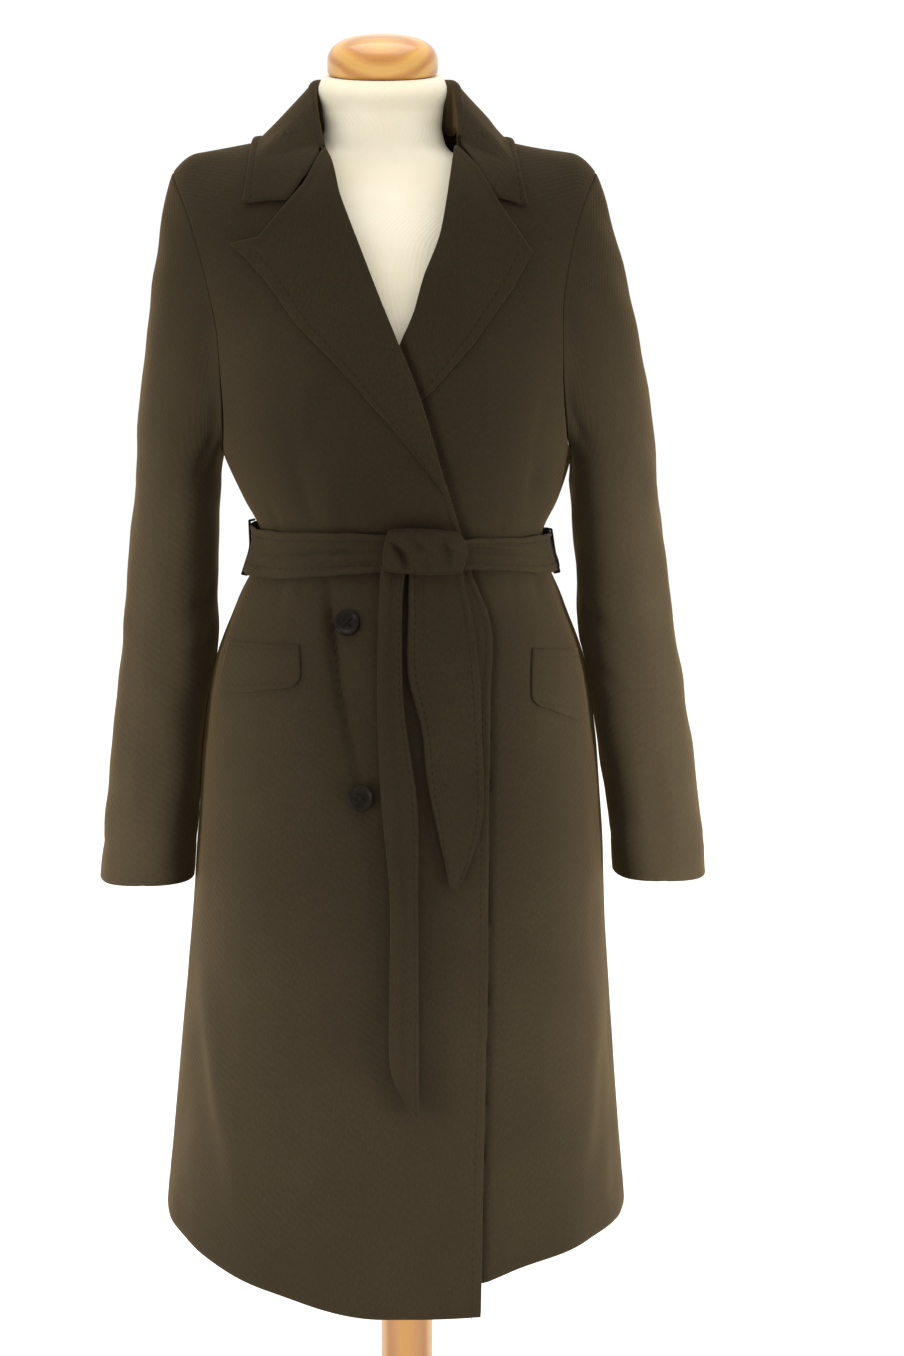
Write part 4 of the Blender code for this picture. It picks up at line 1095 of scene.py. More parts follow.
    def locate(self, x: Array, z: Array) -> Pair:
        """Gives the turn and the level of a place seen from the front."""
        level = np.array(z, float)
        for _ in range(8):
            level = z + self.drop(x - self.measure("centre_x", level), level)
        return self.turn_at(x - self.measure("centre_x", level), level), level

    def over_lift(self, x: Array, z: Array) -> Array:
        """Gives the lift of the lapped front over what lies under it."""
        lapped = ease(x - self.under_edge.at("x", z), *self.lap_rise)
        lapel = ease(z, *self.lapel_under_low) * (1 - ease(z, *self.lapel_under_high))
        return lapped * (self.ply + self.lapel_lift * lapel)

    def under_lift(self, x: Array, z: Array) -> Array:
        """Gives the lift of the under front, which gives way where the other front laps it."""
        beyond = x - self.over_edge.at("x", z)
        line = self.edge_line_depth * bell(beyond - self.edge_line_at, self.edge_line_width)
        lapped = 1 - ease(beyond, *self.lap_tuck)
        return -(self.under_tuck * lapped + line) * (1 - ease(z, *self.tuck_end))

    def front_lift(self, x: Array, z: Array) -> Array:
        """Gives the lift of the outermost front."""
        return self.over_lift(x, z) * (1 - ease(x - self.over_edge.at("x", z), 0.0, self.lap_fall))

    def on_front(self, plan: Array, lift: Array | float) -> Pair:
        """Puts places seen from the front on the outermost front, with normals.

        Args:
            plan: x and z of the places.
            lift: distance over the front.

        Returns:
            The points and the outward normals.
        """
        turn, level = self.locate(plan[..., 0], plan[..., 1])
        return self.lifted(turn, level, -1, self.front_lift(plan[..., 0], plan[..., 1]) + lift)

    def levels(self, step: float, low: float) -> Array:
        """Gives the levels of a panel's rows from the hem to the shoulder.

        Args:
            step: usual distance between rows.
            low: level of the hem.

        Returns:
            Rising levels, denser where the shoulder closes.
        """
        straight = np.linspace(low, self.arch_foot, round((self.arch_foot - low) / step) + 1)
        share = np.cos(np.linspace(0.0, QUARTER, self.arch_rows)[1:])
        arch = self.arch_foot + (self.arch_top - self.arch_foot) * (1 - share**2) ** (1 / self.arch_power)
        return np.concatenate([straight, arch])

    def outer_turn(self, level: Array, face: Face) -> Array:
        """Gives the turn of a panel's outer edge: the side seam, then the armhole."""
        cut = self.armhole.at("front" if face is Face.FRONT else "back", level)
        return np.where(level <= self.armpit, QUARTER, self.turn_at(cut, level))

    def search(self, low: float) -> BVHTree:
        """Makes a search shape of the coat's body above a level, for finding the nearest cloth.

        Args:
            low: the level.

        Returns:
            The shape, with its faces outwards.
        """
        levels, wide = self.levels(self.search_rows_apart, low), self.search_columns
        turn, level = np.meshgrid(np.linspace(-QUARTER, QUARTER, wide + 1), levels)
        points, faces = [], []
        for face in Face:
            start = sum(len(part) for part in points)
            points.append(self.lifted(turn, level, face.value, np.zeros_like(level))[0].reshape(-1, 3))
            here = quads(points[-1].reshape(*level.shape, 3), wide + 1)[0] + start
            faces += here[:, :: -face.value].tolist()
        return BVHTree.FromPolygons(np.concatenate(points).tolist(), faces)


@dataclass
class Panels:
    """The two fronts and the back."""

    skin: Skin
    rows_apart: float = 0.0042
    columns_apart: float = 0.0028
    back_columns_apart: float = 0.0042
    hem: float = 0.418
    hem_ease: float = 0.62
    hem_bend: float = 1.5
    hem_stitch: float = 0.03
    hem_groove: float = 0.0035
    hem_share: float = 0.5
    front_width: float = 0.27
    back_width: float = 0.52
    over_hem: tuple[float, float, float] = (0.0565, -0.02, 1.0)
    under_hem: tuple[float, float, float] = (0.044, -0.009, 1.8)
    edge_press: float = 0.0006
    neck_half: float = 0.064
    neck_drop: float = 0.01
    neck_ease: float = 0.03
    roll: float = 0.0031
    over_break: Span = (1.078, 1.11)
    under_break: Span = (1.12, 1.15)
    over_cut: Cut = Cut(0.4, 1.03, 0.3, Held.HUNG)
    under_cut: Cut = Cut(0.36, 1.03, 0.28, Held.HUNG)
    back_cut: Cut = Cut(0.6, 0.98, 0.469, Held.HUNG)

    def hem_level(self, level: Array, x: Array, side: Side, dip: float, flat: float, curve: float) -> Array:
        """Drops the rows near the hem of a front.

        Args:
            level: levels of the rows.
            x: places across the front.
            side: which front it is.
            dip: most that the hem drops.
            flat: place up to which the drop is full.
            curve: how the drop fades towards the side seam.

        Returns:
            The dropped levels.
        """
        centre, half = self.skin.measure("centre_x", self.hem), self.skin.measure("half_width", self.hem)
        share = np.clip((x - flat) / (side.value * half + centre - flat), 0.0, 1.0)
        fade = 1 - ease(level, self.hem, self.hem_ease)
        return level - dip * (1 - share**self.hem_bend) ** curve * fade

    def pressed(self, grid: Array, out: Array, front_edge: bool) -> Array:
        """Presses a shallow groove along the free edges, where the hand stitches pull the cloth in.

        Args:
            grid: points of the panel.
            out: outward normals.
            front_edge: whether the first column is a free edge.

        Returns:
            The pressed points.
        """
        from_hem = run_length(grid, 0)
        groove = bell(from_hem - self.hem_stitch, self.hem_groove) * self.hem_share
        if front_edge:
            groove = groove + bell(run_length(grid, 1) - STITCH_IN, GROOVE_WIDTH)
        return grid - out * (groove * self.edge_press)[..., None]

    def front(self, side: Side) -> Pair:
        """Lays out one front from its edge to the side seam and armhole.

        Args:
            side: which front it is.

        Returns:
            The grid of points and the outward normals.
        """
        skin, over = self.skin, side is Side.RIGHT
        levels = skin.levels(self.rows_apart, self.hem)
        edge = (skin.over_edge if over else skin.under_edge).at("x", levels)
        low, high = self.over_break if over else self.under_break
        edge = edge + side.value * self.roll * ease(levels, low, high)
        inner = skin.turn_at(edge - skin.measure("centre_x", levels), levels)
        outer = side.value * skin.outer_turn(levels, Face.FRONT)
        count = round(self.front_width / self.columns_apart)
        share = spread(count, self.front_width, EDGE_LINES, SEAM_LINES)
        turn = inner[:, None] + (outer - inner)[:, None] * share
        level = np.repeat(levels[:, None], len(share), axis=1)
        hem = self.over_hem if over else self.under_hem
        level = self.hem_level(level, skin.bare(turn, level, -1)[..., 0], side, *hem)
        place = skin.bare(turn, level, -1)
        lift = skin.over_lift if over else skin.under_lift
        grid, out = skin.lifted(turn, level, -1, lift(place[..., 0], place[..., 2]))
        return self.pressed(grid, out, True), out

    def back(self) -> Pair:
        """Lays out the back, hollowed for the neck.

        Returns:
            The grid of points and the outward normals.
        """
        skin = self.skin
        levels = skin.levels(self.rows_apart, self.hem)
        count = round(self.back_width / self.back_columns_apart)
        share = spread(count, self.back_width, SEAM_LINES, SEAM_LINES)
        turn = skin.outer_turn(levels, Face.BACK)[:, None] * (2 * share - 1)
        level = np.repeat(levels[:, None], len(share), axis=1)
        x = skin.bare(turn, level, 1)[..., 0] - skin.measure("centre_x", level)
        hollow = self.neck_drop * np.clip(1 - (x / self.neck_half) ** 2, 0.0, 1.0)
        level = level - hollow * ease(level, skin.arch_foot - self.neck_ease, skin.arch_top)
        grid, out = skin.lifted(turn, level, 1, np.zeros_like(turn))
        return self.pressed(grid, out, False), out

    def build(self, wardrobe: Wardrobe) -> None:
        """Makes the three panels and the stitches of their edges."""
        stitches = StitchRows("front_edge_stitches")
        fronts = ((Side.RIGHT, "front_right", self.over_cut), (Side.LEFT, "front_left", self.under_cut))
        for side, node, cut in fronts:
            grid, out = self.front(side)
            wardrobe.sew(node, cut, ClothWall(grid, out, self.skin.wall))
            if side is Side.RIGHT:
                column = int(np.argmin(np.abs(run_length(grid, 1).mean(axis=0) - STITCH_IN)))
                below = grid[:, column, 2] < self.over_break[0]
                stitches.lines.append(grid[below, column])
        grid, out = self.back()
        wardrobe.sew("back", self.back_cut, ClothWall(grid, out, self.skin.wall))
        wardrobe.stitch(stitches)


@dataclass
class Sleeves:
    """The two set-in sleeves."""

    skin: Skin
    round_count: int = 96
    flatness: float = 0.8
    clearance: float = 0.0006
    cap_rows: int = 34
    armhole_rows_apart: float = 0.004
    run_step: float = 4e-3
    cuff_lines: tuple[float, ...] = (0.001, 0.003, 0.006)
    cuff_press: float = 0.0006
    cuff_stitch: float = 0.032
    cuff_groove: float = 0.004
    uneven: Unevenness = Unevenness(0.0007, 0.05, 5)
    seam_ease: Span = (0.002, 0.035)
    clear_ease: Span = (0.04, 0.1)
    search_below: float = 0.03
    rows_apart: float = 0.0048
    cuffs: Span = (0.7265, 0.731)
    cap_out: float = 0.16
    cap_down: float = 0.95
    seam: float = 0.001
    pit: float = 0.12
    girth: float = 0.33
    cuts: tuple[tuple[str, Cut], ...] = (
        ("top", Cut(0.2, 0.64, 0.1, Held.HUNG)),
        ("under", Cut(0.17, 0.5, 0.068, Held.HUNG)),
    )
    sizes: Table = Table(
        ("level", "right_half", "left_half", "half_depth", "right_x", "left_x", "mid_y"),
        mm(
            (715, 42.4, 42, 49, -233.9, 231.5, -32),
            (790, 42.1, 41.5, 53.5, -227.5, 224, -23),
            (860, 41.4, 43.1, 57.5, -221.6, 213.9, -14),
            (930, 43, 43.7, 61, -212.5, 202.3, -6),
            (1000, 39.8, 41.2, 63.5, -209, 195, -1),
            (1080, 37.2, 38.8, 66, -203, 186.6, 0),
        ),
    )
    right_creases: Creases = crease_rows(
        (7, -2, 0.2, 140, 1235, 105, 1215, 70, 1212),
        (6.5, -2.2, 0.2, 148, 1195, 110, 1165, 80, 1158),
        (7.5, -2.4, 0.2, 150, 1150, 120, 1110, 100, 1060),
        (9, -2.6, 0.2, 155, 992, 110, 968, 60, 972),
        (8, -2.2, 0.2, 150, 955, 115, 928, 50, 925),
        (14, 1.6, 0.5, 30, 1080, 35, 930, 55, 800),
        (12, -2, 0.4, -60, 1150, -75, 1020, -70, 900),
        (9, -2, 0.2, -140, 1000, -100, 975, -60, 978),
        (8, -1.2, 0.5, 90, 840, 80, 790, 60, 760),
    )
    left_creases: Creases = crease_rows(
        (7, -2.2, 0.2, 142, 1225, 110, 1200, 75, 1195),
        (7, -2.4, 0.2, 150, 1170, 118, 1135, 95, 1090),
        (9, -2.4, 0.2, 152, 975, 105, 955, 55, 962),
        (8.5, -2, 0.2, 148, 930, 100, 905, 45, 900),
        (14, 1.8, 0.5, 20, 1120, 30, 960, 45, 820),
        (12, -2, 0.4, -55, 1170, -70, 1040, -72, 880),
        (9, -2, 0.2, -145, 985, -105, 960, -65, 965),
        (8, -1.2, 0.5, 75, 850, 85, 800, 80, 755),
    )

    def armhole(self, side: Side, face: Face) -> Pair:
        """Follows half of the cut armhole from the shoulder to the armpit.

        Args:
            side: which sleeve it is.
            face: which half it is.

        Returns:
            Even points along it and the way that the panel runs out there.
        """
        skin = self.skin
        levels = skin.levels(self.armhole_rows_apart, skin.armpit)[::-1]
        turn = side.value * skin.outer_turn(levels, face)
        points, _ = skin.lifted(turn, levels, face.value, np.zeros_like(turn))
        step = side.value * self.run_step
        run = skin.bare(np.clip(turn + step, -QUARTER, QUARTER), levels, face.value)
        run = unit(run - skin.bare(np.clip(turn - step, -QUARTER, QUARTER), levels, face.value))
        length = run_length(points, 0)
        at = np.linspace(0.0, length[-1], self.round_count // 2 + 1)
        even = [np.stack([np.interp(at, length, a[:, k]) for k in range(3)], axis=1) for a in (points, run)]
        return even[0], even[1]

    def ring(self, level: float, side: Side) -> Array:
        """Gives the oval of a sleeve at a level, from its outer side by way of the front."""
        angle = np.arange(self.round_count) * 2 * math.pi / self.round_count
        hand = "right" if side is Side.RIGHT else "left"
        wide, deep = (np.sign(a) * np.abs(a) ** self.flatness for a in (np.cos(angle), np.sin(angle)))
        x = self.sizes.at(f"{hand}_x", level) + side.value * self.sizes.at(f"{hand}_half", level) * wide
        y = self.sizes.at("mid_y", level) - self.sizes.at("half_depth", level) * deep
        return np.stack([x, y, np.full_like(x, level)], axis=1)

    def grid(self, side: Side) -> Pair:
        """Lays out a sleeve from the armhole to the open cuff.

        Args:
            side: which sleeve it is.

        Returns:
            The rings of points and the outward normals.
        """
        half = self.round_count // 2
        front, front_run = self.armhole(side, Face.FRONT)
        back, back_run = self.armhole(side, Face.BACK)
        loop = np.concatenate([front, back[half - 1 : 0 : -1]])
        run = np.concatenate([front_run, back_run[half - 1 : 0 : -1]])
        high = ease(loop[:, 2], self.skin.armpit, self.skin.armpit + self.pit)[:, None]
        away = unit(run * high + np.array([side.value, 0.0, 0.0]) * (1 - high))
        start, top = loop + away * self.seam, self.sizes.rows[-1][0]
        first = self.ring(top, side)
        reach = np.linalg.norm(first - start, axis=1, keepdims=True)
        rings = []
        for t in np.linspace(0.0, 1.0, self.cap_rows + 1)[:-1]:
            bend = away * self.cap_out * (t**3 - 2 * t**2 + t) - UP * self.cap_down * (t**3 - t**2)
            rings.append(start * (2 * t**3 - 3 * t**2 + 1) + first * (3 * t**2 - 2 * t**3) + reach * bend)
        cuff = self.cuffs[0 if side is Side.RIGHT else 1]
        length = top - cuff
        share = spread(round(length / self.rows_apart), length, (), self.cuff_lines)
        levels = top - length * share
        rings += [self.ring(level, side) for level in levels]
        grid = np.stack(rings)
        return self.shaped(grid, side)

    def shaped(self, grid: Array, side: Side) -> Pair:
        """Creases the bare sleeve.

        Args:
            grid: rings of the bare sleeve.
            side: which sleeve it is.

        Returns:
            The creased rings and their outward normals.
        """
        around = np.roll(grid, -1, axis=1) - np.roll(grid, 1, axis=1)
        down = np.gradient(grid, axis=0)
        out = unit(np.cross(around, down))
        hint = grid - grid.mean(axis=1, keepdims=True)
        out = out * np.sign((out * hint).sum())
        angle = np.arange(self.round_count) * 2 * math.pi / self.round_count
        angle = np.where(angle > math.pi, angle - 2 * math.pi, angle)
        arc = np.broadcast_to(angle * self.girth / (2 * math.pi), grid.shape[:2])
        creases = self.right_creases if side is Side.RIGHT else self.left_creases
        from_seam = run_length(grid, 0)
        from_cuff = from_seam[-1][None] - from_seam
        rise = creased(creases, arc, grid[..., 2]) + self.uneven.at(grid, side.value)
        rise = rise * ease(from_seam, *self.seam_ease)
        rise = rise - self.cuff_press * bell(from_cuff - self.cuff_stitch, self.cuff_groove)
        return self.cleared(grid + out * rise[..., None], ease(from_seam, *self.clear_ease)), out

    def cleared(self, grid: Array, share: Array) -> Array:
        """Moves a sleeve out, softly, where it leans on the coat's body.

        Args:
            grid: rings of the sleeve.
            share: how far each point may move, from none at the seam to all below the armpit.

        Returns:
            The moved rings.
        """
        body = self.skin.search(min(self.cuffs) - self.search_below)
        for soft in (True, False):
            push = push_out(grid, body, self.clearance) * (share > 0.0)[..., None]
            for axis in (0, 1) * (4 * soft):
                push = (push * 2 + np.roll(push, 1, axis) + np.roll(push, -1, axis)) / 4
            grid = grid + push * share[..., None]
        return grid

    def build(self, wardrobe: Wardrobe) -> None:
        """Makes both sleeves, each of a top and an under cut joined at the front and the back of the arm."""
        quarter = self.round_count // 4
        spans = (np.arange(-quarter, quarter + 1) % self.round_count, np.arange(quarter, 3 * quarter + 1))
        for side, hand in ((Side.RIGHT, "sleeve_right"), (Side.LEFT, "sleeve_left")):
            grid, out = self.grid(side)
            for (name, cut), span in zip(self.cuts, spans):
                wall = ClothWall(grid[:, span], out[:, span], self.skin.wall, sewn_sides=True)
                wardrobe.sew(f"{hand}_{name}", cut, wall)


@dataclass
class Lapels:
    """The turned-back lapels, each rolled over the edge of its front."""

    skin: Skin
    rows: int = 96
    columns: int = 46
    roll: float = 0.0031
    roll_steps: int = 8
    bulge: float = 0.005
    bulge_ease: float = 0.06
    bulge_peak: float = 0.7
    edge_press: float = 0.0007
    width: float = 0.1
    length: float = 0.29
    right_flat: float = 1.09
    left_flat: float = 1.225
    right_cut: Cut = Cut(0.12, 0.34, 0.0188, Held.FOLDED, ("front_right",))
    left_cut: Cut = Cut(0.1, 0.28, 0.0154, Held.FOLDED, ("front_left",))
    right_top: Line = mm((-65, 1369), (-80.7, 1335.8), (-97.5, 1318), (-120.8, 1293.4), (-147.3, 1288.6))
    right_edge: Line = mm(
        (-147.3, 1288.6), (-133.1, 1276.6), (-114.7, 1256.1), (-88.7, 1219.8), (-54.4, 1185.3), (-15, 1142),
        (13, 1109), (35, 1080),
    )
    left_top: Line = mm((42.6, 1371), (62, 1347), (80.5, 1320), (95, 1301), (110, 1281.8))
    left_edge: Line = mm(
        (110, 1281.8), (93.5, 1251.1), (59.3, 1202.9), (25.3, 1164.3), (0, 1142), (-29, 1126),
    )

    @staticmethod
    def along(outline: Line, share: Array) -> Array:
        """Gives points along an outline by share of its length."""
        line = np.array(outline, float)
        length = run_length(line, 0)
        at = np.asarray(share, float) * length[-1]
        return np.stack([np.interp(at, length, line[:, k]) for k in range(2)], axis=-1)

    def plan(self, side: Side, over: Array, down: Array) -> Array:
        """Lays out a lapel seen from the front, from its roll line to its outer edge.

        Args:
            side: which lapel it is.
            over: shares across it.
            down: shares down it.

        Returns:
            Places as x and z.
        """
        right = side is Side.RIGHT
        top, edge = (self.right_top, self.right_edge) if right else (self.left_top, self.left_edge)
        table = self.skin.over_edge if right else self.skin.under_edge
        z = top[0][1] + (edge[-1][1] - top[0][1]) * down
        line = np.stack([table.at("x", z) + side.value * self.roll, z], axis=-1)
        outer, head = self.along(edge, down), self.along(top, over)
        straight = np.array(top[0]) + (np.array(top[-1]) - np.array(top[0])) * over[:, None]
        plan = line[:, None] * (1 - over)[None, :, None] + outer[:, None] * over[None, :, None]
        return plan + (head - straight)[None] * ((1 - down) ** 2)[:, None, None]

    def grid(self, side: Side) -> Pair:
        """Lays out a lapel with the roll that joins it to its front.

        Args:
            side: which lapel it is.

        Returns:
            The grid of points and the outward normals.
        """
        skin, right = self.skin, side is Side.RIGHT
        over = spread(self.columns, self.width, (), EDGE_LINES)
        down = spread(self.rows, self.length, EDGE_LINES[:5])
        plan = self.plan(side, over, down)
        x, z = plan[..., 0], plan[..., 1]
        flat = self.right_flat if right else self.left_flat
        swell = self.bulge * np.sin(math.pi * over**self.bulge_peak)[None] * ease(
            z, flat, flat + self.bulge_ease,
        )
        lift = skin.over_lift if right else skin.under_lift
        turn, level = skin.locate(x, z)
        from_edge = run_length(plan, 1)[:, -1:] - run_length(plan, 1)
        from_top = run_length(plan, 0)
        groove = bell(from_edge - STITCH_IN, GROOVE_WIDTH) + bell(from_top - STITCH_IN, GROOVE_WIDTH)
        height = lift(x, z) + skin.lapel_lift + swell - self.edge_press * np.clip(groove, 0.0, 1.0)
        grid, out = skin.lifted(turn, level, -1, height)
        base, base_out = grid[:, 0], out[:, 0]
        beyond = unit(grid[:, 0] - grid[:, 1])
        beyond = unit(beyond - base_out * (beyond * base_out).sum(axis=1, keepdims=True))
        angles = np.linspace(-QUARTER, QUARTER, self.roll_steps + 1)[:-1]
        turned, turned_out = rolled(base - base_out * self.roll, beyond, base_out, self.roll, angles)
        return np.concatenate([turned, grid], axis=1), np.concatenate([turned_out, out], axis=1)

    def build(self, wardrobe: Wardrobe) -> None:
        """Makes both lapels and their edge stitches."""
        stitches = StitchRows("lapel_stitches")
        rows = ((Side.LEFT, "lapel_left", self.left_cut), (Side.RIGHT, "lapel_right", self.right_cut))
        for side, node, cut in rows:
            grid, out = self.grid(side)
            wardrobe.sew(node, cut, ClothWall(grid, out, self.skin.wall))
            across = run_length(grid, 1)
            column = int(np.argmin(np.abs((across[:, -1:] - across).mean(axis=0) - STITCH_IN)))
            keep = slice(8, -16 if side is Side.LEFT else -6)
            stitches.lines.append(grid[keep, column])
        wardrobe.stitch(stitches)


@dataclass
class Collar:
    """The notched collar: a stand round the neck that rolls over into the fall."""

    skin: Skin
    wall: float = 0.0022
    columns: int = 150
    stand_rows: int = 7
    roll_rows: int = 9
    fall_rows: int = 26
    fall_length: float = 0.075
    end_lines: Span = (0.04, 0.1)
    last_share: float = 0.7
    uneven: Unevenness = Unevenness(0.0006, 0.045, 21)
    deepest: float = 0.0005
    smooth_rim: float = 0.055
    smooth_fade: float = 0.03
    ease_out: float = 0.0014
    notch_at: float = 0.56
    notch_reach: float = 0.28
    gorge_lap: float = 0.0085
    notches: Line = ((-0.0984, 1.3195), (0.0799, 1.3213))
    edge_press: float = 0.0006
    search_low: float = 1.2
    soften: int = 13
    front_end: Span = (1.3, 2.3)
    cut: Cut = Cut(0.16, 0.46, 0.052, Held.FOLDED, ("back", "front_right", "front_left"))
    stations: Table = Table(
        ("station", "roll_x", "roll_y", "roll_z", "edge_x", "edge_y", "edge_z", "stand", "radius"),
        (
            (0, -0.0665, -0.06, 1.374, -0.1368, -0.085, 1.3242, 0.004, 0.003),
            (1, -0.0715, -0.045, 1.395, -0.1345, -0.072, 1.345, 0.009, 0.0034),
            (2, -0.075, -0.025, 1.415, -0.1325, -0.048, 1.364, 0.024, 0.0038),
            (3, -0.076, 0.004, 1.4325, -0.13, 0.006, 1.379, 0.043, 0.004),
            (4, -0.064, 0.042, 1.438, -0.113, 0.074, 1.362, 0.044, 0.004),
            (5, -0.0175, 0.062, 1.439, -0.0175, 0.11, 1.35, 0.044, 0.004),
            (6, 0.029, 0.042, 1.438, 0.077, 0.074, 1.362, 0.044, 0.004),
            (7, 0.041, 0.004, 1.4325, 0.0925, 0.006, 1.379, 0.043, 0.004),
            (8, 0.0448, -0.022, 1.417, 0.098, -0.048, 1.364, 0.026, 0.0038),
            (9, 0.0468, -0.038, 1.4, 0.1025, -0.072, 1.345, 0.01, 0.0034),
            (10, 0.0462, -0.05, 1.383, 0.1066, -0.085, 1.3226, 0.004, 0.003),
        ),
    )

    def forward(self, points: Array, distance: float) -> Array:
        """Moves points out of the front where they come nearer to it than a distance.

        Args:
            points: points of the collar.
            distance: least distance.

        Returns:
            The moved points.
        """
        for _ in range(3):
            turn, level = self.skin.locate(points[..., 0], points[..., 2])
            near, out = self.skin.lifted(turn, level, -1, np.zeros_like(level))
            away = (near[..., 1] - points[..., 1]) * np.abs(out[..., 1])
            here = level < self.skin.arch_top - 1e-4
            points = points + out * np.where(here, np.maximum(distance - away, 0.0), 0.0)[..., None]
        return points

    def clear(self, points: Array, distance: float, cloth: BVHTree) -> Array:
        """Moves a row of points out, softly along the row, where it comes nearer to the coat than a distance.

        Args:
            points: points of the collar.
            distance: least distance.
            cloth: search shape of the coat.

        Returns:
            The moved points.
        """
        soft = np.hanning(self.soften) / np.hanning(self.soften).sum()
        for last in (False, True):
            push = push_out(points, cloth, distance * self.last_share if last else distance)
            if not last:
                wide = np.pad(push, ((self.soften // 2, self.soften // 2), (0, 0)), mode="edge")
                push = np.stack([np.convolve(wide[:, k], soft, mode="valid") for k in range(3)], axis=-1)
            points = points + push
        return points

    def grid(self) -> Array:
        """Lays out the collar from the foot of the stand to the edge of the fall.

        Returns:
            The grid of points, a row for each line round the neck.
        """
        last = self.stations.rows[-1][0]
        ends = [*self.end_lines, *(last - d for d in self.end_lines)]
        at = np.unique(np.concatenate([np.linspace(0.0, last, self.columns + 1), ends]))
        cloth = self.skin.search(self.search_low)
        value = {name: self.stations.at(name, at) for name in self.stations.names[1:]}
        roll = np.stack([value[f"roll_{k}"] for k in "xyz"], axis=-1)
        edge = np.stack([value[f"edge_{k}"] for k in "xyz"], axis=-1)
        out = unit((edge - roll) * np.array([1.0, 1.0, 0.0]))
        radius, stand = value["radius"][:, None], value["stand"][:, None]
        middle = roll - UP * radius
        rows = [middle - UP * stand * (1 - t) for t in np.linspace(0.0, 1.0, self.stand_rows)[:-1]]
        for angle in np.linspace(math.pi, 0.0, self.roll_rows):
            rows.append(middle + out * radius * (1 + math.cos(angle)) + UP * radius * math.sin(angle))
        start = middle + out * radius * 2
        fall = spread(self.fall_rows, self.fall_length, (), EDGE_LINES)[1:]
        for share in fall:
            row = start + (edge - start) * share
            knee = min(share / self.notch_at, 1.0)
            past = max(share - self.notch_at, 0.0) / (1 - self.notch_at)
            for end, notch in zip((0, -1), self.notches):
                first, tip = start[end][[0, 2]], edge[end][[0, 2]]
                cut = first + (np.array(notch) - first) * knee + (tip - np.array(notch)) * past
                cut = cut + np.array([0.5 + end, -1.0]) * self.gorge_lap * math.sqrt(4 * knee * (1 - knee))
                near = np.clip(1 - np.abs(at - at[end]) / self.notch_reach, 0.0, 1.0)
                row[:, [0, 2]] += (cut - row[end][[0, 2]])[None] * near[:, None]
            gap = self.skin.ply + self.ease_out
            round_neck = ease(np.minimum(at, last - at), *self.front_end)[:, None]
            rows.append(self.forward(row, gap) * (1 - round_neck) + self.clear(row, gap, cloth) * round_neck)
        return np.stack(rows)

    def build(self, wardrobe: Wardrobe) -> None:
        """Makes the collar with its soft rise and fall and its edge stitches."""
        stitches = StitchRows("collar_stitches")
        grid = self.grid()
        out = unit(np.cross(np.gradient(grid, axis=1), np.gradient(grid, axis=0)))
        top = self.stand_rows - 1 + self.roll_rows // 2
        out = out * np.sign(out[top, :, 2].mean())
        from_edge = run_length(grid, 0)
        from_edge = from_edge[-1][None] - from_edge
        groove = bell(from_edge - STITCH_IN, GROOVE_WIDTH)
        soft = self.uneven.at(grid) * ease(self.smooth_rim - from_edge, 0.0, self.smooth_fade)
        grid = grid + out * (np.maximum(soft, -self.deepest) - groove * self.edge_press)[..., None]
        wardrobe.sew("collar", self.cut, ClothWall(grid, out, self.wall))
        row = int(np.argmin(np.abs(from_edge.mean(axis=1) - STITCH_IN)))
        stitches.lines.append(grid[row, 4:-4])
        wardrobe.stitch(stitches)


